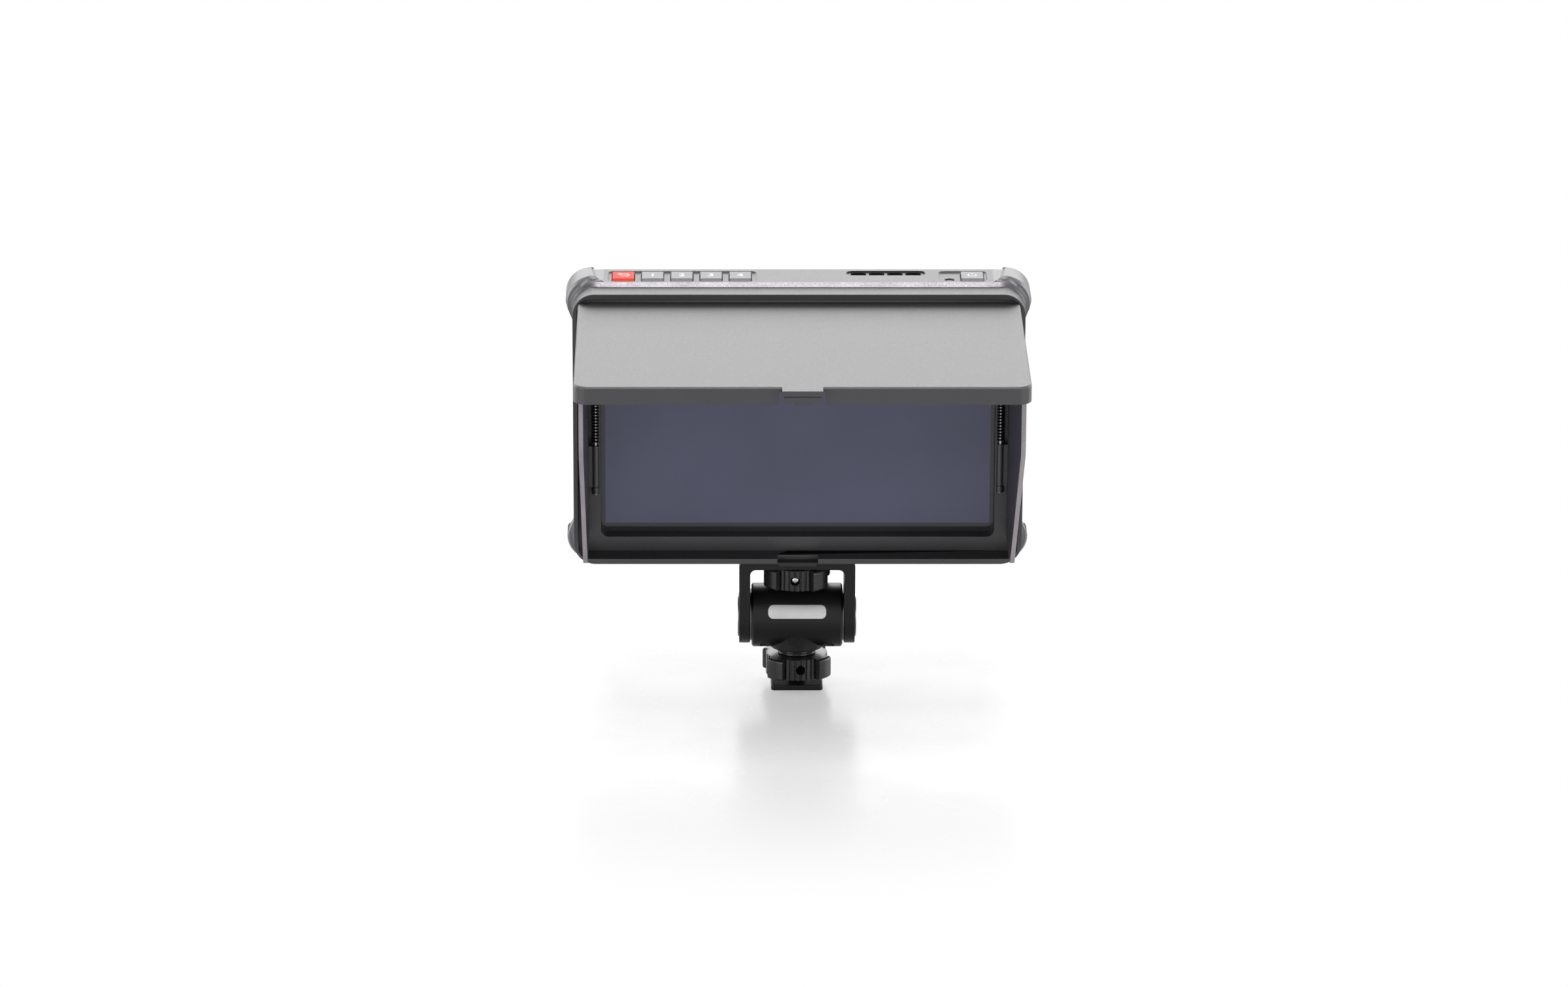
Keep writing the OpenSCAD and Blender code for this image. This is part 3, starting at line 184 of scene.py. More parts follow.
class Form:
    """A mesh in the making, in millimetres, in the frame of the part that it belongs to."""

    def __init__(self) -> None:
        """Start an empty form."""
        self.bm = bmesh.new()

    @classmethod
    def block(cls, low: Point, high: Point) -> "Form":
        """Make a block.

        Args:
            low: its lowest corner.
            high: its highest corner.

        Returns:
            The block.
        """
        form = cls()
        size = Vector(high) - Vector(low)
        middle = (Vector(high) + Vector(low)) / 2
        place = Matrix.Translation(middle) @ Matrix.Diagonal((*size, 1))
        bmesh.ops.create_cube(form.bm, size=1, matrix=place)
        return form

    @classmethod
    def prism(cls, outline: Outline, axis: Axis, start: float, end: float) -> "Form":
        """Push a flat outline along an axis.

        Args:
            outline: the outline's points, in the plane square to the axis.
            axis: the axis to push along.
            start: where the prism starts.
            end: where it ends.

        Returns:
            The prism.
        """
        form = cls()
        corners = [form.bm.verts.new(axis.point(a, b, start)) for a, b in outline]
        face = form.bm.faces.new(corners)
        pushed = bmesh.ops.extrude_face_region(form.bm, geom=[face])["geom"]
        moved = [part for part in pushed if isinstance(part, bmesh.types.BMVert)]
        bmesh.ops.translate(form.bm, verts=moved, vec=axis.point(0, 0, end - start))
        form.settle()
        return form

    @classmethod
    def rod(cls, radius: float, axis: Axis, start: float, end: float,
            centre: tuple[float, float] = (0, 0), sides: int = 48) -> "Form":
        """Make a round rod.

        Args:
            radius: the rod's radius.
            axis: the axis it runs along.
            start: where it starts.
            end: where it ends.
            centre: where it stands, in the plane square to the axis.
            sides: the number of faces round it.

        Returns:
            The rod.
        """
        circle = [(centre[0] + radius * math.cos(turn), centre[1] + radius * math.sin(turn))
                  for turn in (math.tau * k / sides for k in range(sides))]
        return cls.prism(circle, axis, start, end)

    @classmethod
    def lofted(cls, sections: Sequence[Sequence[Vector]]) -> "Form":
        """Join closed outlines of equal length into one closed skin.

        Args:
            sections: the outlines in order, each as points in space.

        Returns:
            The skin.
        """
        form = cls()
        rings = []
        for section in sections:
            verts = [form.bm.verts.new(point) for point in section]
            rings.append([form.bm.edges.new(pair) for pair in zip(verts, verts[1:] + verts[:1])])
        for first, second in zip(rings, rings[1:]):
            bmesh.ops.bridge_loops(form.bm, edges=first + second)
        for ring in (rings[0], rings[-1]):
            bmesh.ops.contextual_create(form.bm, geom=ring)
        return form.settle()

    def mark(self, chosen: Callable[[bmesh.types.BMFace], bool], index: int) -> "Form":
        """Give chosen faces another finish.

        Args:
            chosen: tells which faces are meant.
            index: the finish's place in the piece's list.

        Returns:
            The form itself.
        """
        self.bm.normal_update()
        for face in self.bm.faces:
            if chosen(face):
                face.material_index = index
        return self

    def settle(self) -> "Form":
        """Turn every face outwards."""
        bmesh.ops.recalc_face_normals(self.bm, faces=self.bm.faces)
        return self

    def round_edges(self, chosen: Callable[[bmesh.types.BMEdge], bool], radius: float,
                    steps: int) -> "Form":
        """Round some edges, or chamfer them with a single face.

        Args:
            chosen: says of an edge whether it is rounded.
            radius: the radius of the rounding.
            steps: the number of faces across it.

        Returns:
            The form itself.
        """
        edges = [edge for edge in self.bm.edges if chosen(edge)]
        bmesh.ops.bevel(self.bm, geom=edges, offset=radius, offset_type="OFFSET", segments=steps,
                        profile=0.5, affect="EDGES", material=-1, clamp_overlap=True)
        return self

    def move(self, place: Matrix) -> "Form":
        """Move, turn or scale the whole form.

        Args:
            place: the matrix to apply.

        Returns:
            The form itself.
        """
        self.bm.transform(place)
        return self.settle() if place.determinant() < 0 else self

    def add(self, other: "Form") -> "Form":
        """Put another form's faces beside this one's.

        Args:
            other: the form to take in; it is used up.

        Returns:
            The form itself.
        """
        mesh = other.as_mesh()
        self.bm.from_mesh(mesh)
        bpy.data.meshes.remove(mesh)
        return self

    def as_mesh(self, name: str = "form") -> bpy.types.Mesh:
        """Turn the form into a mesh; the form is used up.

        Args:
            name: the mesh's name.

        Returns:
            The mesh.
        """
        mesh = bpy.data.meshes.new(name)
        self.bm.to_mesh(mesh)
        self.bm.free()
        return mesh

    def combine(self, other: "Form", operation: str) -> "Form":
        """Cut another form from this one, or melt the two into one closed shell.

        Args:
            other: the other form; it is used up.
            operation: DIFFERENCE, UNION or INTERSECT.

        Returns:
            The form itself.
        """
        bodies = [bpy.data.objects.new("shaping", form.as_mesh()) for form in (self, other)]
        for body in bodies:
            bpy.context.scene.collection.objects.link(body)
        change = bodies[0].modifiers.new("shape", "BOOLEAN")
        change.operation = operation
        change.solver = "EXACT"
        change.object = bodies[1]
        shaped = bodies[0].evaluated_get(bpy.context.evaluated_depsgraph_get())
        mesh = bpy.data.meshes.new_from_object(shaped)
        self.bm = bmesh.new()
        self.bm.from_mesh(mesh)
        for body in bodies:
            old = body.data
            bpy.data.objects.remove(body)
            bpy.data.meshes.remove(old)
        bpy.data.meshes.remove(mesh)
        bmesh.ops.remove_doubles(self.bm, verts=self.bm.verts, dist=WELD)
        bmesh.ops.dissolve_limit(self.bm, angle_limit=FLAT_ANGLE, verts=self.bm.verts,
                                 edges=self.bm.edges, use_dissolve_boundaries=False)
        return self

    def cut(self, tool: "Form") -> "Form":
        """Cut a tool's shape out of this form."""
        return self.combine(tool, "DIFFERENCE")

    def melt(self, other: "Form") -> "Form":
        """Melt another form into this one."""
        return self.combine(other, "UNION")

    def slice(self, middle: Point, normal: Point) -> "Form":
        """Divide every face that a plane crosses.

        Args:
            middle: a point of the plane.
            normal: the plane's normal.

        Returns:
            The form itself.
        """
        geom = [*self.bm.verts, *self.bm.edges, *self.bm.faces]
        bmesh.ops.bisect_plane(self.bm, geom=geom, plane_co=middle, plane_no=normal)
        return self


def screen_tone(tone: Tone) -> tuple[float, float, float, float]:
    """Turn a colour as seen on a screen into the linear colour that a shader takes.

    Args:
        tone: red, green and blue from 0 to 255.

    Returns:
        Linear red, green, blue and an alpha of one.
    """
    parts = [value / 255 for value in tone]
    # The constants are those of the standard sRGB curve.
    linear = [part / 12.92 if part <= 0.04045 else ((part + 0.055) / 1.055) ** 2.4 for part in parts]
    return (*linear, 1.0)


def tinted(tone: Tone, factor: float, lift: float = 0.0) -> Tone:
    """Make a screen colour paler or deeper."""
    return tuple(value * factor + lift for value in tone)


class NodeDesk:
    """Lays out and joins the nodes of one material."""

    def __init__(self, name: str) -> None:
        """Start a material with a shader and Object coordinates.

        Args:
            name: the material's name.
        """
        self.material = bpy.data.materials.new(name)
        self.material.use_nodes = True
        self.tree = self.material.node_tree
        self.shader = self.tree.nodes["Principled BSDF"]
        self.place = self.tree.nodes.new("ShaderNodeTexCoord").outputs["Object"]

    def node(self, kind: str, inputs: dict[str | int, object] | None = None,
             **settings: object) -> bpy.types.Node:
        """Add a node.

        Args:
            kind: the node's type.
            inputs: values or sockets for its inputs.
            settings: its own settings.

        Returns:
            The node.
        """
        made = self.tree.nodes.new(kind)
        for name, value in settings.items():
            setattr(made, name, value)
        for name, value in (inputs or {}).items():
            socket = made.inputs[name]
            if isinstance(value, bpy.types.NodeSocket):
                self.tree.links.new(value, socket)
            else:
                socket.default_value = value
        return made

    def noise(self, per_metre: float, detail: float = 2.0,
              stretch: Point | None = None) -> bpy.types.NodeSocket:
        """Add a noise that follows the piece.

        Args:
            per_metre: how fine it is.
            detail: how many finer layers it has.
            stretch: a factor on each axis, for grain that runs one way.

        Returns:
            The noise from 0 to 1.
        """
        place = self.place
        if stretch:
            place = self.node("ShaderNodeMapping", {"Vector": place, "Scale": stretch}).outputs["Vector"]
        made = self.node("ShaderNodeTexNoise", {"Vector": place, "Scale": per_metre, "Detail": detail})
        return made.outputs["Fac"]

    def span(self, value: bpy.types.NodeSocket, low: float, high: float,
             start: float = 0.3, end: float = 0.7) -> bpy.types.NodeSocket:
        """Spread a noise over a range of values.

        Args:
            value: the noise.
            low: the result at its start.
            high: the result at its end.
            start: the noise value that gives low.
            end: the noise value that gives high.

        Returns:
            The spread value.
        """
        inputs = {"Value": value, "From Min": start, "From Max": end, "To Min": low, "To Max": high}
        return self.node("ShaderNodeMapRange", inputs).outputs["Result"]

    def mix(self, share: bpy.types.NodeSocket, first: Tone, second: Tone) -> bpy.types.NodeSocket:
        """Blend two screen colours.

        Args:
            share: the share of the second one.
            first: the first colour.
            second: the second colour.

        Returns:
            The blended colour.
        """
        # The node has sockets of every kind; 6 and 7 are its colours A and B, and 2 is its colour result.
        made = self.node("ShaderNodeMix", {"Factor": share}, data_type="RGBA")
        made.inputs[6].default_value = screen_tone(first)
        made.inputs[7].default_value = screen_tone(second)
        return made.outputs[2]

    def bump(self, height: bpy.types.NodeSocket, depth_mm: float) -> None:
        """Raise the surface's normals by a height.

        Args:
            height: the height from 0 to 1.
            depth_mm: what a height of one stands for.
        """
        last = self.shader.inputs["Normal"].links
        inputs = {"Height": height, "Distance": depth_mm * MM, "Strength": 1.0}
        if last:
            inputs["Normal"] = last[0].from_socket
        made = self.node("ShaderNodeBump", inputs)
        self.wire("Normal", made.outputs["Normal"])

    def gloss(self, value: bpy.types.NodeSocket, roughness: float, spread: float) -> None:
        """Let the roughness vary a little with a noise."""
        self.wire("Roughness", self.span(value, roughness - spread, roughness + spread))

    def wire(self, name: str, value: bpy.types.NodeSocket) -> None:
        """Join a value to one of the shader's sockets."""
        self.tree.links.new(value, self.shader.inputs[name])

    def fix(self, **values: float) -> None:
        """Set plain values on the shader's own sockets."""
        for name, value in values.items():
            self.shader.inputs[name.replace("_", " ")].default_value = value


@dataclass(frozen=True)
class Finish:
    """What every finish has: a title of its own, the record's slot and a colour."""

    title: str
    slot: str
    tone: Tone

    def paint(self, desk: NodeDesk) -> None:
        """Lay out the finish's nodes; each kind of finish has its own way."""
        raise NotImplementedError(self.title)

    def material(self) -> bpy.types.Material:
        """Make the material, or find the one made before.

        Returns:
            The material.
        """
        made = bpy.data.materials.get(self.title)
        if made:
            return made
        desk = NodeDesk(self.title)
        self.paint(desk)
        return desk.material


@dataclass(frozen=True)
class Plastic(Finish):
    """A moulded plastic or rubber with a fine grain."""

    roughness: float = 0.42
    drift: float = 0.1
    grain_mm: float = 0.012
    grain_per_m: float = 2400.0
    specular: float = 0.5
    cloud_per_m: float = 45.0

    def paint(self, desk: NodeDesk) -> None:
        """Mottle the colour, and grain the surface.

        Args:
            desk: the material's nodes.
        """
        cloud = desk.noise(self.cloud_per_m, detail=3.0)
        grain = desk.noise(self.grain_per_m, detail=3.0)
        deeper, paler = tinted(self.tone, 1 - self.drift), tinted(self.tone, 1 + self.drift, lift=1.5)
        mottle = desk.node("ShaderNodeMath", {0: cloud, 1: grain}, operation="ADD").outputs[0]
        desk.wire("Base Color", desk.mix(desk.span(mottle, 0, 1, start=0.7, end=1.3), deeper, paler))
        desk.gloss(grain, self.roughness, spread=0.05)
        desk.bump(grain, self.grain_mm)
        desk.fix(Specular_IOR_Level=self.specular)


@dataclass(frozen=True)
class Metal(Finish):
    """A metal whose grain runs one way."""

    roughness: float = 0.3
    run: Point = (1, 1, 1)
    grain_per_m: float = 1800.0
    grain_mm: float = 0.006
    cloud_per_m: float = 60.0

    def paint(self, desk: NodeDesk) -> None:
        """Cloud the colour, and brush the surface.

        Args:
            desk: the material's nodes.
        """
        grain = desk.noise(self.grain_per_m, detail=4.0, stretch=self.run)
        cloud = desk.noise(self.cloud_per_m)
        deeper, paler = tinted(self.tone, 0.9), tinted(self.tone, 1.05)
        desk.wire("Base Color", desk.mix(desk.span(cloud, 0, 1), deeper, paler))
        desk.gloss(grain, self.roughness, spread=0.08)
        desk.bump(grain, self.grain_mm)
        desk.fix(Metallic=1.0)


@dataclass(frozen=True)
class Glass(Finish):
    """A clear cover over a dark layer, as one smooth glossy surface."""

    roughness: float = 0.06
    cloud_per_m: float = 18.0
    smear_per_m: float = 90.0
    grain_per_m: float = 1500.0
    grain_mm: float = 0.0008

    def paint(self, desk: NodeDesk) -> None:
        """Cloud the colour and the gloss very slightly.

        Args:
            desk: the material's nodes.
        """
        cloud = desk.noise(self.cloud_per_m)
        smear = desk.noise(self.smear_per_m)
        deeper, paler = tinted(self.tone, 0.94), tinted(self.tone, 1.06)
        desk.wire("Base Color", desk.mix(desk.span(cloud, 0, 1), deeper, paler))
        desk.gloss(smear, self.roughness, spread=0.02)
        desk.bump(desk.noise(self.grain_per_m), self.grain_mm)


@dataclass(frozen=True)
class Laminate(Finish):
    """A circuit board with copper tracks under its lacquer."""

    track: Tone
    tracks_per_m: float = 320.0
    track_mm: float = 0.02
    gloss_per_m: float = 800.0

    def paint(self, desk: NodeDesk) -> None:
        """Lay tracks between the cells of a pattern.

        Args:
            desk: the material's nodes.
        """
        cells = desk.node("ShaderNodeTexVoronoi", {"Vector": desk.place, "Scale": self.tracks_per_m},
                          feature="DISTANCE_TO_EDGE", distance="EUCLIDEAN").outputs["Distance"]
        tracks = desk.span(cells, 1, 0, start=0.02, end=0.06)
        desk.wire("Base Color", desk.mix(tracks, self.tone, self.track))
        desk.wire("Roughness", desk.span(desk.noise(self.gloss_per_m), low=0.25, high=0.4))
        desk.bump(tracks, self.track_mm)


class Look(Enum):
    """The finishes of the part. No title is the name of a slot, whose plain material the frame brings."""

    HOOD = Plastic("satin_hood_plastic", "hood_plastic", (31, 29, 32), 0.45, specular=0.9)
    # A paler copy of the hood plastic for the side flaps' front and lower edges: a painted reflection of the
    # white floor.
    FLAP_EDGE = Plastic("pale_flap_edge", "hood_plastic", (140, 135, 139), 0.5)
    BODY = Plastic("satin_body_plastic", "graphite_plastic", (40, 38, 41), 0.45, specular=0.9)
    # A brighter metal copy of the body's graphite plastic for the bezel's chamfer: a painted highlight.
    BEVEL = Metal("bright_bevel", "graphite_plastic", (98, 95, 99), 0.32)
    GUARD = Plastic("corner_rubber", "soft_rubber", (66, 64, 68), 0.42, grain_mm=0.02, specular=1.0)
    PAD = Plastic("pad_rubber", "soft_rubber", (24, 24, 25), 0.7, grain_mm=0.04)
    KEY = Plastic("key_plastic", "button_grey", (98, 95, 99), 0.42)
    RED_KEY = Plastic("red_key_plastic", "button_red", (236, 62, 42), 0.55, specular=0.2)
    INK = Plastic("white_ink", "white_film", (236, 236, 236), 0.5, 0.02)
    FILM = Plastic("frosted_film", "white_film", (235, 235, 238), 0.4, 0.02)
    BLACK = Plastic("moulded_black", "black_plastic", (24, 24, 25), 0.4)
    KNOB = Plastic("knob_plastic", "black_plastic", (33, 33, 35), 0.3)
    ALLOY = Plastic("black_coated_alloy", "black_alloy", (18, 18, 20), 0.38, grain_mm=0.008, specular=0.3)
    RING = Plastic("polished_black_ring", "black_alloy", (14, 14, 15), 0.12, 0.002)
    STEEL = Metal("brushed_steel", "pressed_steel", (176, 176, 180), 0.3, (1, 0.05, 0.05))
    BRIGHT = Metal("polished_steel", "bright_steel", (200, 200, 204), 0.16)
    SPRING = Metal("spring_wire", "bright_steel", (24, 24, 25), 0.3)
    PLATE = Metal("brushed_silver", "silver_plate", (200, 200, 200), 0.5, (0.08, 1, 1), 3200.0)
    BRASS = Metal("turned_brass", "brass", (205, 170, 96), 0.3)
    GOLD = Metal("plated_gold", "gold_contact", (228, 190, 106), 0.2, (1, 1, 0.05))
    BOARD = Laminate("printed_board", "circuit_board", (22, 74, 46), (52, 120, 70))
    BORDER = Glass("glass_border", "cover_glass", (56, 55, 59))
    DISPLAY = Glass("display_area", "display_panel", (90, 93, 120), 0.1)

    @property
    def finish(self) -> Finish:
        """The finish itself."""
        return self.value


def finish_normals(piece: bpy.types.Object, edge_mm: float, steps: int) -> None:
    """Round a piece's hard edges and shade its faces evenly.

    Args:
        piece: the piece.
        edge_mm: the width of the rounding, or 0 for none.
        steps: the number of faces across the rounding.
    """
    if edge_mm:
        edge = piece.modifiers.new("edges", "BEVEL")
        edge.width = edge_mm * MM
        edge.segments = steps
        edge.limit_method = "ANGLE"
        edge.angle_limit = SHARP_ANGLE
        edge.miter_outer = "MITER_ARC"
    shade = piece.modifiers.new("shading", "WEIGHTED_NORMAL")
    shade.keep_sharp = True


def publish(form: Form, name: str, look: Look, node: str, place: Matrix = MONITOR,
            edge_mm: float = 0.12, steps: int = 2, stands_for: bool = True,
            more_looks: Sequence[Look] = ()) -> bpy.types.Object:
    """Turn a form into a finished piece that moves with a CAD node's body.

    Args:
        form: the form; it is used up.
        name: the piece's name.
        look: its finish.
        node: the CAD node whose body it rides on.
        place: where the form's own frame stands.
        edge_mm: the width of the rounding along its hard edges.
        steps: the number of faces across that rounding.
        stands_for: whether the CAD node is hidden.
        more_looks: finishes for faces with a material index above 0.

    Returns:
        The piece.
    """
    form.move(Matrix.Scale(MM, 4) @ place)
    bmesh.ops.remove_doubles(form.bm, verts=form.bm.verts, dist=WELD * MM)
    mesh = form.as_mesh(name)
    mesh.shade_smooth()
    mesh.set_sharp_from_angle(angle=SHARP_ANGLE)
    piece = bpy.data.objects.new(name, mesh)
    bpy.context.scene.collection.objects.link(piece)
    for one in (look, *more_looks):
        mesh.materials.append(one.finish.material())
    finish_normals(piece, edge_mm, steps)
    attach(piece, frame["nodes"][node]["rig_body"])
    if stands_for:
        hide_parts(node)
    return piece


def dress(node: str, look: Look, edge_mm: float = 0.0, steps: int = 2) -> None:
    """Give a CAD node its finish, and round its hard edges.

    Args:
        node: the CAD node.
        look: its finish.
        edge_mm: the width of the rounding, or 0 for none.
        steps: the number of faces across the rounding.
    """
    piece = frame["nodes"][node]
    for slot in piece.material_slots:
        slot.material = look.finish.material()
    if edge_mm:
        weld = piece.modifiers.new("weld", "WELD")
        weld.merge_threshold = 20 * WELD * MM
        plain = piece.modifiers.new("plain", "DECIMATE")
        plain.decimate_type = "DISSOLVE"
        plain.angle_limit = math.radians(0.6)
        finish_normals(piece, edge_mm, steps)


@dataclass
class TopFlap:
    """The hood's top flap with its hanging rim, hinge ears and pull tab."""

    half: float = 75.2
    reach: float = 87.8
    top: float = 94.4
    thick: float = 1.6
    rim: float = 6.0
    rim_thick: float = 1.5
    corner: float = 4.5
    inner_corner: float = 1.6
    crown: float = 0.8
    back: float = -1.0
    middle_back: float = 1.0
    middle_half: float = 71.4
    joint: float = 1.5
    axis_d: float = 1.8
    axis_h: float = 92.0
    droop: float = 0.5
    ear_in: float = 70.5
    ear_out: float = 73.4
    boss: float = 1.7
    pin_hole: float = 0.85
    tab_half: float = 6.7
    tab_gap: float = 1.0
    tab_reach: float = 3.93
    lip: float = 1.9
    lip_slope: float = 0.2
    groove: float = 0.3
    tab_low: float = 1.7
    core_inset: float = 1.2
    block_inset: tuple[float, float] = (0.7, 0.3)
    catch_half: float = 2.55
    catch_inset: float = 0.8
    catch_drop: float = 0.8

    @property
    def place(self) -> Matrix:
        """Where the open flap stands, tipped forwards about its hinge axis."""
        axis = Matrix.Translation((0, self.axis_d, self.axis_h))
        return MONITOR @ axis @ Matrix.Rotation(math.radians(self.droop), 4, "X") @ axis.inverted()

    def plate(self) -> Form:
        """Make the plate with its rim.

        Returns:
            The plate.
        """
        low = self.top - self.rim
        under = self.top - self.thick
        front = -self.reach
        inner_front = front + self.rim_thick
        plate = Form.block((-self.half, front, low), (self.half, self.back, self.top))
        plate.round_edges(lambda e: runs(e, Axis.UP) and lies(e, Axis.DEPTH, front), self.corner, 10)
        plate.round_edges(lambda e: lies(e, Axis.UP, self.top) and not lies(e, Axis.DEPTH, self.back),
                          self.crown, 4)
        inside = self.half - self.rim_thick
        hollow = Form.block((-inside, inner_front, low - PAST), (inside, self.back + PAST, under))
        hollow.round_edges(lambda e: runs(e, Axis.UP) and lies(e, Axis.DEPTH, inner_front),
                           self.inner_corner, 6)
        plate.cut(hollow)
        plate.melt(Form.block((-self.middle_half, self.back - self.joint, under),
                              (self.middle_half, self.middle_back, self.top)))
        notch = self.tab_half + self.tab_gap
        plate.cut(Form.block((-notch, front - PAST, low - PAST), (notch, inner_front + LAP, under)))
        lip = self.top - self.lip
        tip = front - self.tab_reach
        outline = [(inner_front, self.top), (inner_front, under - LAP / 2), (front + self.lip_slope, lip),
                   (tip, lip), (tip, self.top)]
        return plate.melt(Form.prism(outline, Axis.ACROSS, -self.tab_half, self.tab_half))

    def tab(self) -> Form:
        """Make what hangs under the pull tab: a block behind a groove, and a catch below it.

        Returns:
            The block.
        """
        front = -self.reach - self.tab_reach
        back = -self.reach + 2 * LAP
        low = self.top - self.rim + self.tab_low
        under = self.top - self.lip
        core = self.tab_half - self.core_inset
        side_inset, front_inset = self.block_inset
        block = self.tab_half - side_inset
        tab = Form.block((-core, front + self.core_inset, low), (core, back, under + LAP))
        tab.melt(Form.block((-block, front + front_inset, low), (block, back, under - self.groove)))
        return tab.melt(Form.block((-self.catch_half, front + self.catch_inset, low - self.catch_drop),
                                   (self.catch_half, -self.reach - PAST, low + LAP)))

    def ear(self, side: Side) -> Form:
        """Make one hinge ear.

        Args:
            side: which end of the flap it is on.

        Returns:
            The ear.
        """
        under = self.top - self.thick
        start, end = sorted((side.value * self.ear_in, side.value * self.ear_out))
        ear = Form.rod(self.boss, Axis.ACROSS, start, end, (self.axis_d, self.axis_h))
        outline = [(self.back - LAP, under + LAP), (self.back - LAP, self.axis_h - 1),
                   (self.axis_d, self.axis_h - self.boss), (self.axis_d, self.axis_h + self.boss),
                   (self.middle_back - LAP, under + LAP)]
        ear.melt(Form.prism(outline, Axis.ACROSS, start, end))
        return ear.cut(Form.rod(self.pin_hole, Axis.ACROSS, start - PAST, end + PAST,
                                (self.axis_d, self.axis_h)))

    def build(self) -> None:
        """Build and dress the flap."""
        publish(self.plate(), "sun_hood_top", Look.HOOD, "top_flap", self.place, edge_mm=0.2, steps=3)
        publish(self.tab(), "pull_tab", Look.HOOD, "top_flap", self.place, edge_mm=0.22, steps=3,
                stands_for=False)
        for side in Side:
            publish(self.ear(side), f"hinge_ear_{side.word}", Look.HOOD, "top_flap", self.place,
                    edge_mm=0.1, stands_for=False)


@dataclass
class SideFlap:
    """One of the hood's side flaps with its two hinge barrels."""

    side: Side
    offset: float = 3.85
    thick: float = 1.5
    low: float = 8.0
    top: float = 92.45
    tip: float = 22.7
    front: float = -85.1
    kink: float = 69.3
    clear: float = -1.6
    front_drop: float = 0.76
    clear_drop: float = 0.03
    notch_h: float = 87.9
    back: float = 0.2
    corners: tuple[float, float, float] = (3.0, 2.0, 1.5)
    web: float = 0.8
    pin_hole: float = 0.65
    barrels: tuple[tuple[float, float], tuple[float, float]] = ((26.7, 41.5), (60.0, 75.0))

    @property
    def place(self) -> Matrix:
        """The hinge's own frame, with its first axis towards the outside."""
        flip = Matrix.Diagonal((self.side.value, 1, 1, 1))
        return MONITOR @ flip @ Matrix.Translation((HINGE_X, self.side.hinge_depth, 0))

    def panel(self) -> Form:
        """Make the flat panel.

        Returns:
            The panel, in the hinge's own frame.
        """
        front = self.front - self.side.hinge_depth
        clear = self.clear - self.side.hinge_depth
        tip = (-self.tip - self.side.hinge_depth, self.low)
        kink = (front, self.kink)
        peak = (front, self.top - self.front_drop)
        outline = [(self.back, self.low), tip, kink, peak, (clear, self.top - self.clear_drop),
                   (clear, self.notch_h), (self.back, self.notch_h)]
        panel = Form.prism(outline, Axis.ACROSS, self.offset - self.thick, self.offset)
        for (depth, height), radius in zip((tip, kink, peak), self.corners):
            panel.round_edges(lambda e: runs(e, Axis.ACROSS) and lies(e, Axis.DEPTH, depth)
                              and lies(e, Axis.UP, height), radius, 6)
        return panel

    def build(self) -> None:
        """Build and dress the flap."""
        panel = self.panel()
        inner = self.offset - self.thick
        for start, end in self.barrels:
            panel.melt(Form.block((0, -self.web, start), (inner + LAP, self.back, end)))
            panel.melt(Form.rod(HINGE_BARREL, Axis.UP, start, end, sides=32))
        (lowest, _), (_, highest) = self.barrels
        panel.cut(Form.rod(self.pin_hole, Axis.UP, lowest - PAST, highest + PAST, sides=24))
        # The slanting lower edge and the front edge face the white floor and get a paler finish than the
        # flap's faces: a painted reflection of the floor.
        panel.mark(lambda f: f.normal.y < -0.2 and f.calc_center_median().y < -self.tip, 1)
        publish(panel, f"sun_hood_{self.side.word}", Look.HOOD, f"{self.side.word}_flap", self.place,
                edge_mm=0.2, steps=3, more_looks=[Look.FLAP_EDGE])


@dataclass
class HingeSpring:
    """The spring wound round one side hinge's pin."""

    flap: SideFlap
    low: float = 41.7
    high: float = 59.8
    coil: float = 1.175
    wire: float = 0.225
    curls: int = 15
    steps_a_curl: int = 24
    end: float = 0.75

    def build(self) -> None:
        """Wind and dress the spring."""
        wound = Form()
        start = self.low + self.end
        steps = self.curls * self.steps_a_curl
        rise = (self.high - self.low - 2 * self.end) / steps
        ring = Matrix.Translation((self.coil, 0, start)) @ Matrix.Rotation(math.pi / 2, 4, "X")
        bmesh.ops.create_circle(wound.bm, segments=12, radius=self.wire, matrix=ring)
        bmesh.ops.spin(wound.bm, geom=[*wound.bm.verts, *wound.bm.edges], cent=(0, 0, 0), axis=(0, 0, 1),
                       dvec=(0, 0, rise), angle=math.tau * self.curls, steps=steps, use_duplicate=False)
        bmesh.ops.holes_fill(wound.bm, edges=wound.bm.edges, sides=0)
        wound.settle()
        for low, high in ((self.low, start + LAP), (self.high - self.end - LAP, self.high)):
            wound.add(Form.rod(self.wire, Axis.UP, low, high, (self.coil, 0), 12))
        word = self.flap.side.word
        publish(wound, f"hinge_spring_{word}", Look.SPRING, f"{word}_hinge_spring", self.flap.place,
                edge_mm=0)


@dataclass
class Screen:
    """The cover glass with its black border round the picture area."""

    seat: float = 1.6
    corner: float = 1.5
    border_side: float = 1.5
    border_top: float = 3.2
    thick: float = 0.7

    def build(self) -> None:
        """Build and dress the glass."""
        glass = Form.block((-WINDOW_HALF - self.seat, GLASS_FRONT, WINDOW_LOW - self.seat),
                           (WINDOW_HALF + self.seat, GLASS_FRONT + self.thick, WINDOW_HIGH + self.seat))
        glass.round_edges(lambda e: runs(e, Axis.DEPTH), self.corner, 4)
        half = WINDOW_HALF - self.border_side
        low = WINDOW_LOW + self.border_top
        high = WINDOW_HIGH - self.border_top
        for across in (half, -half):
            glass.slice((across, 0, 0), (1, 0, 0))
        for level in (low, high):
            glass.slice((0, 0, level), (0, 0, 1))
        # The picture area is what faces forwards within the border.
        glass.mark(lambda f: f.normal.y < -0.9 and abs(f.calc_center_median().x) < half
                   and low < f.calc_center_median().z < high, 1)
        publish(glass, "cover_glass_lens", Look.BORDER, "cover_glass", edge_mm=0, more_looks=[Look.DISPLAY])


class Symbol(Enum):
    """What is printed on a key."""

    RETURN = "return"
    ONE = "1"
    TWO = "2"
    THREE = "3"
    FOUR = "4"
    POWER = "power"


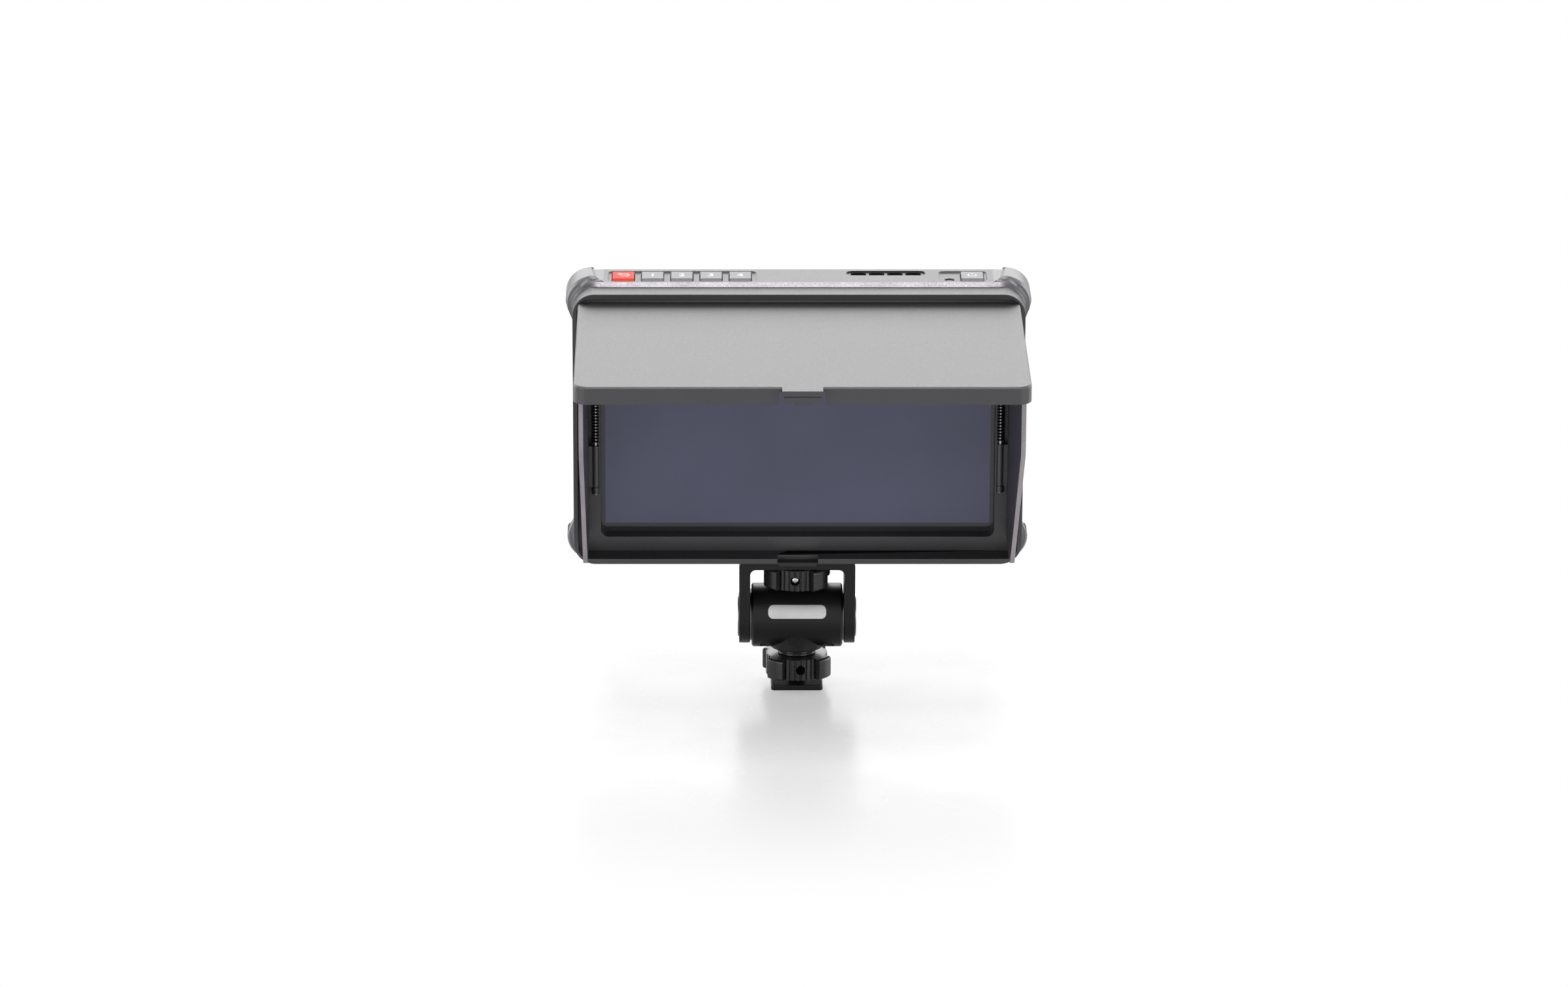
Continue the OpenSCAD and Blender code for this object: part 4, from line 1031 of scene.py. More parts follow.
@dataclass
class Key:
    """One of the keys on the monitor's top, with its printed symbol."""

    x: float
    width: float
    node: str
    symbol: Symbol
    look: Look
    foot: float = 97.25
    top: float = 99.4
    slope: float = 0.9
    soft: float = 0.3
    ink: float = 0.03
    ink_sink: float = 0.005
    ink_back: float = 0.4
    numeral: float = 4.3
    numeral_weight: float = 0.07

    def cap(self) -> Form:
        """Make the key's cap.

        Returns:
            The cap.
        """
        half = self.width / 2
        cap = Form.block((self.x - half, KEY_FRONT, self.foot), (self.x + half, KEY_BACK, self.top))
        cap.round_edges(lambda e: lies(e, Axis.UP, self.top) and lies(e, Axis.DEPTH, KEY_FRONT),
                        self.slope, 1)
        return cap.round_edges(lambda e: sharp(e) and not lies(e, Axis.UP, self.foot), self.soft, 3)

    def print_form(self) -> Form:
        """Make the flat symbol on top of the cap.

        Returns:
            The symbol.
        """
        if self.symbol is Symbol.POWER:
            stroke = Form.block((-0.2, 0.5, 0), (0.2, 1.9, self.ink))
            return self.arc(radius=1.45, line=0.4, sweep=300, start=120).add(stroke)
        if self.symbol is Symbol.RETURN:
            head = Form.prism([(-2.1, 1.1), (-0.8, 2.1), (-0.8, 0.1)], Axis.UP, 0, self.ink)
            bar = Form.block((-0.9, 0.88, 0), (0.7, 1.32, self.ink))
            tail = Form.block((-0.9, -1.52, 0), (0.7, -1.08, self.ink))
            bow = self.arc(radius=1.2, line=0.44, sweep=180, start=-90)
            return bow.move(Matrix.Translation((0.7, -0.1, 0))).add(bar).add(tail).add(head)
        text = bpy.data.curves.new("numeral", "FONT")
        text.body = self.symbol.value
        text.size = self.numeral
        text.offset = self.numeral_weight
        text.align_x = "CENTER"
        text.align_y = "CENTER"
        text.extrude = self.ink / 2
        holder = bpy.data.objects.new("numeral", text)
        mesh = bpy.data.meshes.new_from_object(holder)
        form = Form()
        form.bm.from_mesh(mesh)
        bpy.data.objects.remove(holder)
        bpy.data.curves.remove(text)
        bpy.data.meshes.remove(mesh)
        return form

    def arc(self, radius: float, line: float, sweep: float, start: float) -> Form:
        """Make part of a flat ring.

        Args:
            radius: the ring's middle radius.
            line: the width of its line.
            sweep: how far it turns, in degrees.
            start: where it starts, in degrees.

        Returns:
            The part of a ring.
        """
        form = Form()
        half = line / 2
        corners = [form.bm.verts.new((radius + x, 0, z))
                   for x, z in ((-half, 0), (half, 0), (half, self.ink), (-half, self.ink))]
        face = form.bm.faces.new(corners)
        bmesh.ops.rotate(form.bm, verts=form.bm.verts, cent=(0, 0, 0),
                         matrix=Matrix.Rotation(math.radians(start), 3, "Z"))
        bmesh.ops.spin(form.bm, geom=[face], cent=(0, 0, 0), axis=(0, 0, 1),
                       angle=math.radians(sweep), steps=24, use_duplicate=False)
        return form.settle()

    def build(self) -> None:
        """Build and dress the key."""
        publish(self.cap(), f"{self.node}_cap", self.look, self.node, edge_mm=0)
        middle = (self.x, (KEY_FRONT + KEY_BACK) / 2 + self.ink_back, self.top - self.ink_sink)
        label = self.print_form().move(Matrix.Translation(middle))
        publish(label, f"{self.node}_symbol", Look.INK, self.node, edge_mm=0, stands_for=False)


@dataclass
class Thumbwheel:
    """A knurled wheel with four smooth lobes and a cross hole."""

    node: str
    place: Matrix
    low: float
    bore: float
    hole_angle: float
    radius: float = 10.7
    lobe: float = 12.9
    height: float = 7.35
    lobe_half: float = 15.0
    flutes: int = 36
    groove: float = 0.6
    # A groove's slope starts and ends at these shares of a flute, counted from the groove's middle.
    groove_share: tuple[float, float] = (0.09, 0.21)
    lobe_edge: float = 0.9
    per_flute: int = 20
    cross_hole: float = 1.67
    locked: bool = False
    screw: float = 1.6
    screw_sink: float = 0.7
    screw_round: float = 1.3

    @property
    def stand(self) -> Matrix:
        """Where the wheel stands on its screw, and which way its cross hole points."""
        return Matrix.Translation((0, 0, self.low)) @ Matrix.Rotation(math.radians(self.hole_angle), 4, "Z")

    def reach(self, turn: float) -> float:
        """Say how far the wheel's outline reaches at an angle from its cross hole.

        Args:
            turn: the angle in degrees.

        Returns:
            The radius there.
        """
        from_lobe = abs((turn % 90) - 45)
        if from_lobe < self.lobe_half:
            return self.lobe + PAST
        wave = (turn * self.flutes / 360) % 1
        from_groove = min(wave, 1 - wave)
        bottom, crest = self.groove_share
        share = min(1.0, max(0.0, (from_groove - bottom) / (crest - bottom)))
        return self.radius - self.groove * (1 - share)

    def outline(self) -> list[tuple[float, float]]:
        """List the points of the wheel's plan.

        Returns:
            The points, one round.
        """
        count = self.flutes * self.per_flute
        points = []
        for turn in (360 * k / count for k in range(count)):
            reach = self.reach(turn)
            points.append((reach * math.cos(math.radians(turn)), reach * math.sin(math.radians(turn))))
        return points

    def build(self) -> None:
        """Build and dress the wheel."""
        wheel = Form.prism(self.outline(), Axis.UP, 0, self.height)
        limit = Form.rod(self.lobe, Axis.UP, 0, self.height, sides=96)
        limit.round_edges(lambda e: not runs(e, Axis.UP), self.lobe_edge, 5)
        wheel.combine(limit, "INTERSECT")
        wheel.cut(Form.rod(self.bore, Axis.UP, -PAST, self.height + PAST))
        wheel.cut(Form.rod(self.cross_hole, Axis.ACROSS, 0, self.lobe + PAST, (0, self.height / 2), 32))
        wheel.move(self.stand)
        publish(wheel, f"{self.node}_knob", Look.KNOB, self.node, self.place, edge_mm=0.12, steps=3)
        # The bright screw in the cross hole is a painted highlight: it stands in for the light seen through
        # the hole.
        if self.locked:
            publish(self.lock_screw(), f"{self.node}_lock_screw", Look.BRIGHT, self.node, self.place,
                    edge_mm=0, stands_for=False)

    def lock_screw(self) -> Form:
        """Make the round-ended bright steel screw in the cross hole, a painted highlight that stands in for
        the light seen through the hole.

        Returns:
            The screw.
        """
        tip = self.radius - self.screw_sink
        screw = Form.rod(self.screw, Axis.ACROSS, self.bore + PAST, tip, (0, self.height / 2), 32)
        screw.round_edges(lambda e: lies(e, Axis.ACROSS, tip), self.screw_round, 6)
        return screw.move(self.stand)


@dataclass
class Head:
    """The swivelling head: a drum in two halves on a round boss, with a blank plate."""

    shell_edge: float = 0.15
    plate_edge: float = 0.08

    def build(self) -> None:
        """Dress the head, whose solids keep their shape."""
        for node in ("head_lower_shell", "head_upper_shell"):
            dress(node, Look.ALLOY, self.shell_edge, steps=3)
        dress("blank_plate", Look.PLATE, self.plate_edge)
        for node in ("head_screws", "tilt_axle"):
            dress(node, Look.STEEL)


@dataclass
class Bracket:
    """The shoe foot, the yoke and what joins them to the monitor."""

    foot_edge: float = 0.4
    collar_edge: float = 0.2
    yoke_edge: float = 0.3
    washer_edge: float = 0.1
    cap_edge: float = 0.15
    pad_edge: float = 0.1
    screw_edge: float = 0.2

    def build(self) -> None:
        """Dress the bracket, whose solids keep their shape."""
        dress("shoe_foot", Look.ALLOY, self.foot_edge, steps=4)
        dress("swivel_washer", Look.RING, self.collar_edge, steps=3)
        dress("stud_nut", Look.STEEL)
        dress("yoke", Look.ALLOY, self.yoke_edge, steps=3)
        dress("friction_washers", Look.STEEL, self.washer_edge)
        dress("axle_caps", Look.STEEL, self.cap_edge)
        dress("bridge_pad", Look.PAD, self.pad_edge)
        dress("mounting_screw", Look.BRIGHT, self.screw_edge)


@dataclass
class CornerGuard:
    """One soft bumper round a corner of the body, with a hollow slope at its front."""

    side: Side
    upper: bool
    low: float = -1.35
    out_side: float = 2.48
    out_end: float = 1.0
    corner: float = 8.35
    frame_corner: float = 7.5
    frame_drop: float = 1.35
    seat: float = 0.92
    seat_step: float = 1.2
    seat_front: float = 10.05
    seat_run: float = 10.5
    foot_run: float = 11.9
    ridge_run: float = 8.4
    back_run: float = 7.1
    end_taper: float = 1.2
    side_run: tuple[float, float] = (14.2, 10.5)
    side_taper: tuple[float, float] = (6.4, 3.8)
    chamfer_back: float = 9.75
    chamfer_slope: float = 0.97
    front: float = 8.45
    ridge: float = 10.4
    ridge_share: float = 0.7
    crest: float = 12.6
    back: float = 24.2
    back_edge: float = 0.9
    back_shares: tuple[float, float, float] = (1.0, 0.88, 0.55)
    recede: float = 3.4
    end_lift: float = 0.35
    end_bend: float = 36.0
    turn_step: int = 6
    front_rings: int = 8
    crest_rings: int = 6

    @property
    def place(self) -> Matrix:
        """Find the corner's own frame, with its first and third axes outwards.

        Returns:
            The frame's place.
        """
        level = BODY_HIGH if self.upper else self.low
        flip = Matrix.Diagonal((self.side.value, 1, 1 if self.upper else -1, 1))
        return MONITOR @ Matrix.Translation((self.side.value * BODY_HALF, 0, level)) @ flip

    def sink(self, depth: float) -> float:
        """Say how far the body's chamfer has drawn its outline in at a depth."""
        return max(0.0, self.chamfer_back - depth) * self.chamfer_slope

    def skin(self, turn: float, climb: float, depth: float, share: float) -> Vector:
        """Find one point of the bumper's outside.

        Args:
            turn: how far round the corner it is, from 90 at the end to 0 at the side.
            climb: how far it has climbed out of the hollow, from 0 at its foot to 1 at its ridge.
            depth: how far it is behind the hood's lip.
            share: how much of the bumper's full height over the body it has.

        Returns:
            The point in the corner's plane.
        """
        out = Vector((math.cos(math.radians(turn)), math.sin(math.radians(turn))))
        body = BODY_CORNER * out - Vector((BODY_CORNER, BODY_CORNER))
        proud = self.corner * out + Vector((self.out_side - self.corner, self.out_end - self.corner))
        full = body.lerp(proud, share)
        if climb >= 1:
            return full
        frame = self.frame_corner * out - Vector((self.frame_corner, self.frame_corner + self.frame_drop))
        point = frame.lerp(full, climb)
        chamfer = body - self.sink(depth) * out
        return point if (point - chamfer).dot(out) > 0 else chamfer

    def ring(self, depth: float, climb: float, share: float) -> list[Vector]:
        """Draw the bumper's outline at one depth.

        Args:
            depth: how far it is behind the hood's lip.
            climb: how far it has climbed out of the hollow at its front.
            share: how much of its full height it has there.

        Returns:
            The outline's points, in the corner's own frame.
        """
        floor = self.seat if depth >= self.seat_front else self.seat + self.seat_step
        sink = self.sink(depth)
        backward = max(0.0, (depth - self.ridge) / (self.back - self.ridge))
        bend = (1 - backward) * min(1.0, climb ** 0.5)
        if climb >= 1:
            run = self.ridge_run + (self.back_run - self.ridge_run) * backward
        else:
            run = self.foot_run + (self.ridge_run - self.foot_run) * climb ** 0.5
        taper = self.side_taper[0] + (self.side_taper[1] - self.side_taper[0]) * backward
        side_run = self.side_run[0] + (self.side_run[1] - self.side_run[0]) * backward
        turns = range(0, 91, self.turn_step)
        points = []
        for turn in turns:
            near_end = max(0.0, 1 - turn / self.end_bend) * bend
            point = self.skin(90 - turn, climb, depth, min(1.0, share + self.end_lift * near_end))
            points.append(Axis.DEPTH.point(point.x, point.y, depth + self.recede * near_end))
        end_depth = depth + self.recede * bend
        far = max(self.seat_run, run)
        start = [Axis.DEPTH.point(-far, -floor, depth), Axis.DEPTH.point(-far, -sink, depth),
                 Axis.DEPTH.point(-run, -sink, end_depth),
                 Axis.DEPTH.point(self.end_taper * share - run, points[0].z, end_depth)]
        side = [Axis.DEPTH.point(points[-1].x, taper * share - side_run, depth),
                Axis.DEPTH.point(0, -side_run, depth), Axis.DEPTH.point(-floor, -side_run, depth)]
        reach = BODY_CORNER - floor
        bottom = [Axis.DEPTH.point(reach * math.cos(turn) - BODY_CORNER,
                                   reach * math.sin(turn) - BODY_CORNER, depth)
                  for turn in map(math.radians, turns)]
        return [*start, *points, *side, *bottom]

    def form(self) -> Form:
        """Make the bumper.

        Returns:
            The bumper, in the corner's own frame.
        """
        rings = []
        for k in range(self.front_rings + 1):
            turn = math.pi / 2 * k / self.front_rings
            depth = self.front + (self.ridge - self.front) * math.sin(turn)
            rings.append(self.ring(depth, 1 - math.cos(turn), self.ridge_share))
        for k in range(1, self.crest_rings + 1):
            turn = math.pi / 2 * k / self.crest_rings
            depth = self.ridge + (self.crest - self.ridge) * k / self.crest_rings
            rings.append(self.ring(depth, 1.0, self.ridge_share + (1 - self.ridge_share) * math.sin(turn)))
        for inset, share in zip((self.back_edge, self.back_edge / 3, 0), self.back_shares):
            rings.append(self.ring(self.back - inset, 1.0, share))
        return Form.lofted(rings)

    def build(self) -> None:
        """Build and dress the bumper."""
        name = f"corner_guard_{'top' if self.upper else 'bottom'}_{self.side.word}"
        first = self.upper and self.side is Side.LEFT
        publish(self.form(), name, Look.GUARD, "corner_guards", self.place, edge_mm=0.15, steps=3,
                stands_for=first)


@dataclass
class Bezel:
    """The body's front ring, with a chamfer round it and a reveal down to the glass."""

    low: float = -1.33
    back: float = 9.85
    chamfer: float = 1.35
    window_corner: float = 2.3
    wall: float = 1.2
    soft: float = 0.25

    def opening(self, grow: float, start: float, end: float) -> Form:
        """Make a block in the shape of the window.

        Args:
            grow: how much larger it is on every side.
            start: the depth where it starts.
            end: the depth where it ends.

        Returns:
            The block.
        """
        block = Form.block((-WINDOW_HALF - grow, start, WINDOW_LOW - grow),
                           (WINDOW_HALF + grow, end, WINDOW_HIGH + grow))
        return block.round_edges(lambda e: runs(e, Axis.DEPTH), self.window_corner + grow, 8)

    def at_window(self, edge: bmesh.types.BMEdge) -> bool:
        """Tell whether an edge belongs to the window's front edge.

        Args:
            edge: the edge to look at.

        Returns:
            True if it does.
        """
        middle = (edge.verts[0].co + edge.verts[1].co) / 2
        return (lies(edge, Axis.DEPTH, HOOD_DEPTH) and abs(middle.x) < WINDOW_HALF + self.soft
                and WINDOW_LOW - self.soft < middle.z < WINDOW_HIGH + self.soft)

    def build(self) -> None:
        """Build and dress the bezel."""
        ring = Form.block((-BODY_HALF, HOOD_DEPTH, self.low), (BODY_HALF, self.back, BODY_HIGH))
        ring.round_edges(lambda e: runs(e, Axis.DEPTH), BODY_CORNER, 14)
        ring.round_edges(lambda e: lies(e, Axis.DEPTH, HOOD_DEPTH), self.chamfer, 1)
        # Only the chamfer's faces point both forwards and outwards; they get a brighter metal finish, a
        # painted highlight of the light band along the chamfer.
        ring.mark(lambda f: -0.9 < f.normal.y < -0.5, 1)
        ring.melt(self.opening(self.wall, self.back - LAP / 2, GLASS_FRONT))
        ring.cut(self.opening(0, HOOD_DEPTH - PAST, GLASS_FRONT + PAST))
        ring.round_edges(self.at_window, self.soft, 3)
        publish(ring, "screen_surround", Look.BODY, "front_bezel", edge_mm=0, more_looks=[Look.BEVEL])


@dataclass
class KeyTray:
    """A dished liner with sloping walls in one of the pockets on the body's top."""

    name: str
    left: float
    right: float
    keys: Sequence[tuple[float, float]]
    sensor_x: float | None = None
    sensor_d: float = 13.9
    sensor_hole: float = 1.72
    front: float = 10.7
    back: float = 22.3
    floor: float = 97.95
    top: float = 98.84
    corner: float = 2.0
    # Each step of the dish has its distance from the wall and its height over the floor.
    dish: tuple[tuple[float, float], ...] = ((0.8, 0.38), (0.36, 0.5), (0.16, 0.68))
    rim: float = 0.08
    fit: float = 0.01
    gap: float = 0.28

    def outline(self, inset: float, level: float) -> list[Vector]:
        """Draw the pocket's outline.

        Args:
            inset: how far it is drawn in.
            level: its height.

        Returns:
            The outline's points.
        """
        radius = self.corner - inset * 0.5
        points = []
        for quarter, (x, y) in enumerate(((self.right, self.back), (self.left, self.back),
                                          (self.left, self.front), (self.right, self.front))):
            out = Vector((1 if x == self.right else -1, 1 if y == self.back else -1))
            centre = Vector((x, y)) - out * (inset + radius)
            for k in range(7):
                turn = math.radians(90 * quarter + 15 * k)
                points.append(Axis.UP.point(centre.x + radius * math.cos(turn),
                                            centre.y + radius * math.sin(turn), level))
        return points

    def build(self) -> None:
        """Build and dress the liner."""
        tray = Form.lofted([self.outline(self.fit, self.floor - self.fit), self.outline(self.fit, self.top)])
        dish = [self.outline(inset, self.floor + height) for inset, height in self.dish]
        tray.cut(Form.lofted([*dish, self.outline(self.rim, self.top + 2 * LAP)]))
        low, high = self.floor - PAST, self.top + PAST
        for x, width in self.keys:
            reach = width / 2 + self.gap
            tray.cut(Form.block((x - reach, KEY_FRONT - self.gap, low),
                                (x + reach, KEY_BACK + self.gap, high)))
        if self.sensor_x is not None:
            tray.cut(Form.rod(self.sensor_hole, Axis.UP, low, high, (self.sensor_x, self.sensor_d), 32))
        publish(tray, self.name, Look.BODY, "rear_housing", edge_mm=0, stands_for=False)


@dataclass
class Body:
    """The monitor's shell, its inner pieces, its sockets and the battery plate."""

    shell_edge: float = 0.08
    battery_edge: float = 0.15
    fine_edge: float = 0.1
    shield_edge: float = 0.06

    def build(self) -> None:
        """Dress the shell and what is in it, whose solids keep their shape."""
        for node, look in (("rear_housing", Look.BODY), ("rear_screws", Look.STEEL)):
            dress(node, look, self.shell_edge)
        for node, look in (("light_sensor", Look.FILM), ("lcd_panel", Look.DISPLAY),
                           ("backlight_unit", Look.FILM), ("panel_carrier", Look.STEEL),
                           ("main_board", Look.BOARD), ("button_board", Look.BOARD)):
            dress(node, look)
        for node, look in (("battery_plate", Look.BLACK), ("battery_latch", Look.KEY)):
            dress(node, look, self.battery_edge)
        for node, look in (("vent_grille", Look.BLACK), ("power_socket", Look.BLACK),
                           ("headphone_socket", Look.BLACK), ("tripod_insert", Look.BRASS),
                           ("battery_contacts", Look.GOLD)):
            dress(node, look, self.fine_edge)
        for node in ("video_in_socket", "video_out_socket", "service_socket"):
            dress(node, Look.BRIGHT, self.shield_edge)


@dataclass
class HoodFrame:
    """The hood's fixed frame with its hinge lugs, its notch for the tab and its pins."""

    height: float = 97.5
    corner: float = 7.5
    side_wall: float = 1.6
    end_wall: float = 2.0
    inner_corner: float = 3.5
    notch_half: float = 7.0
    notch_d: float = 4.0
    keeper_front: float = 0.9
    keeper_low: float = -1.3
    keeper_top: float = 0.3
    keeper_taper: float = 0.7
    slot_half: float = 3.3
    slot: tuple[float, float] = (5.5, 8.2)
    soft: float = 0.25
    lugs: tuple[float, float] = (24.2, 75.2)
    lug_h: float = 2.3
    lug_plate: float = 1.1
    lug_fit: float = 0.01

    def ring(self) -> Form:
        """Make the frame.

        Returns:
            The frame, with soft edges everywhere but where it meets the body.
        """
        ring = Form.block((-BODY_HALF, 0, 0), (BODY_HALF, HOOD_DEPTH, self.height))
        ring.round_edges(lambda e: runs(e, Axis.DEPTH), self.corner, 12)
        inside = BODY_HALF - self.side_wall
        hollow = Form.block((-inside, -PAST, self.end_wall),
                            (inside, HOOD_DEPTH + PAST, self.height - self.end_wall))
        ring.cut(hollow.round_edges(lambda e: runs(e, Axis.DEPTH), self.inner_corner, 8))
        for half, start, end in ((self.notch_half, -PAST, self.notch_d), (self.slot_half, *self.slot)):
            ring.cut(Form.block((-half, start, -PAST), (half, end, self.end_wall + PAST)))
        return ring.round_edges(lambda e: sharp(e) and not lies(e, Axis.DEPTH, HOOD_DEPTH), self.soft, 3)

    def keeper(self) -> Form:
        """Make the tapered bar across the notch, which the tab's catch hooks behind.

        Returns:
            The bar.
        """
        low_half = self.notch_half - self.keeper_taper
        outline = [(-self.notch_half, self.keeper_top), (self.notch_half, self.keeper_top),
                   (low_half, self.keeper_low), (-low_half, self.keeper_low)]
        return Form.prism(outline, Axis.DEPTH, self.keeper_front, self.notch_d + 2 * LAP)

    def lug(self, side: Side, low: float) -> Form:
        """Make one of the lugs that hold a side flap's pin.

        Args:
            side: the side it is on.
            low: the height of its underside.

        Returns:
            The lug.
        """
        top = low + self.lug_h
        wall = BODY_HALF - self.side_wall - HINGE_X
        back = HOOD_DEPTH - side.hinge_depth
        lug = Form.block((-HINGE_BARREL, back - self.lug_plate, low), (wall + LAP, back - self.lug_fit, top))
        lug.melt(Form.block((-HINGE_BARREL, 0, low), (HINGE_BARREL, back - self.lug_fit, top)))
        lug.melt(Form.rod(HINGE_BARREL, Axis.UP, low, top, sides=32))
        hinge = Matrix.Translation((HINGE_X, side.hinge_depth, 0))
        return lug.move(Matrix.Diagonal((side.value, 1, 1, 1)) @ hinge)

    def build(self) -> None:
        """Build and dress the frame."""
        publish(self.ring(), "sun_hood_frame", Look.HOOD, "hood_frame", edge_mm=0)
        publish(self.keeper(), "tab_keeper", Look.BLACK, "hood_frame", edge_mm=0.2, steps=3, stands_for=False)
        for side in Side:
            for low, level in zip(self.lugs, ("low", "high")):
                publish(self.lug(side, low), f"hinge_lug_{level}_{side.word}", Look.HOOD, "hood_frame",
                        edge_mm=0.12, stands_for=False)
        for node in ("top_hinge_pins", "left_hinge_pin", "right_hinge_pin"):
            dress(node, Look.STEEL)


@dataclass
class Studio:
    """The pale floor, the soft light and the camera."""

    sensor: float = 36.0
    lens: float = 147.87
    shift: float = 0.0493
    spot: Point = (-0.0314, -2.1531, 0.6638)
    pitch: float = -15.45
    world_light: float = 0.15
    floor_gloss: float = 0.2
    shade_lift: float = 0.38
    shade_near: float = 0.1
    shade_far: float = 0.24
    floor_half: float = 6.0
    aim: Point = (0, 0, 0.1)

    def floor(self) -> None:
        """Lay the floor."""
        sheet = Form()
        bmesh.ops.create_grid(sheet.bm, x_segments=1, y_segments=1, size=self.floor_half)
        mesh = sheet.as_mesh("floor")
        floor = bpy.data.objects.new("floor", mesh)
        bpy.context.scene.collection.objects.link(floor)
        desk = NodeDesk("pale_floor")
        desk.wire("Base Color", desk.mix(desk.span(desk.noise(3.0), 0, 1), (232, 231, 233), (235, 234, 236)))
        desk.wire("Roughness", desk.span(desk.noise(40.0), low=0.24, high=0.3))
        desk.fix(Specular_IOR_Level=self.floor_gloss)
        self.whiten(desk)
        mesh.materials.append(desk.material)

    def whiten(self, desk: NodeDesk) -> None:
        """Let the floor turn plain white to the camera away from the object.

        Args:
            desk: the floor's nodes.
        """
        reach = desk.node("ShaderNodeVectorMath", {0: desk.place}, operation="LENGTH").outputs["Value"]
        inputs = {"Value": reach, "From Min": self.shade_near, "From Max": self.shade_far,
                  "To Min": self.shade_lift}
        share = desk.node("ShaderNodeMapRange", inputs, interpolation_type="SMOOTHSTEP").outputs["Result"]
        seen = desk.node("ShaderNodeLightPath").outputs["Is Camera Ray"]
        both = desk.node("ShaderNodeMath", {0: share, 1: seen}, operation="MULTIPLY").outputs[0]
        white = desk.node("ShaderNodeEmission", {"Color": (1, 1, 1, 1), "Strength": 1.0}).outputs[0]
        mixed = desk.node("ShaderNodeMixShader", {0: both, 1: desk.shader.outputs[0], 2: white}).outputs[0]
        desk.tree.links.new(mixed, desk.tree.nodes["Material Output"].inputs["Surface"])

    def world(self) -> None:
        """Light the scene evenly, with a white backdrop behind it."""
        world = bpy.data.worlds.new("studio")
        bpy.context.scene.world = world
        world.use_nodes = True
        tree = world.node_tree
        plain = tree.nodes["Background"]
        white = tree.nodes.new("ShaderNodeBackground")
        for node, strength in ((plain, self.world_light), (white, 1.0)):
            node.inputs["Color"].default_value = (1, 1, 1, 1)
            node.inputs["Strength"].default_value = strength
        path = tree.nodes.new("ShaderNodeLightPath")
        seen = path.outputs["Is Camera Ray"]
        for name in ("Is Glossy Ray", "Is Transmission Ray"):
            both = tree.nodes.new("ShaderNodeMath")
            both.operation = "MAXIMUM"
            tree.links.new(seen, both.inputs[0])
            tree.links.new(path.outputs[name], both.inputs[1])
            seen = both.outputs[0]
        mix = tree.nodes.new("ShaderNodeMixShader")
        tree.links.new(seen, mix.inputs[0])
        tree.links.new(plain.outputs[0], mix.inputs[1])
        tree.links.new(white.outputs[0], mix.inputs[2])
        tree.links.new(mix.outputs[0], tree.nodes["World Output"].inputs["Surface"])

    def lamp(self, name: str, turn: float, elevation: float, distance: float, size: tuple[float, float],
             radiance: float) -> None:
        """Hang a soft rectangular lamp that faces the object.

        Args:
            name: the lamp's name.
            turn: how far it stands round the object, in degrees to the right from the front.
            elevation: its height in degrees.
            distance: how far away it hangs, in metres.
            size: its width and height in metres.
            radiance: how bright its surface is, where 1 is white.
        """
        light = bpy.data.lights.new(name, type="AREA")
        light.shape = "RECTANGLE"
        light.size, light.size_y = size
        light.energy = radiance * math.pi * size[0] * size[1]
        lamp = bpy.data.objects.new(name, light)
        bpy.context.scene.collection.objects.link(lamp)
        round_it, up = math.radians(turn), math.radians(elevation)
        towards = Vector((math.sin(round_it) * math.cos(up), -math.cos(round_it) * math.cos(up),
                          math.sin(up)))
        lamp.location = Vector(self.aim) + towards * distance
        lamp.rotation_euler = towards.to_track_quat("Z", "Y").to_euler()
        lamp.visible_camera = False

    def camera(self) -> None:
        """Stand the camera where the photograph was taken from."""
        data = bpy.data.cameras.new("camera")
        data.sensor_width = self.sensor
        data.lens = self.lens
        data.shift_x = self.shift
        data.clip_start = 0.1
        data.clip_end = 50.0
        camera = bpy.data.objects.new("camera", data)
        camera.location = self.spot
        camera.rotation_euler = (math.radians(90 + self.pitch), 0, 0)
        bpy.context.scene.collection.objects.link(camera)
        bpy.context.scene.camera = camera

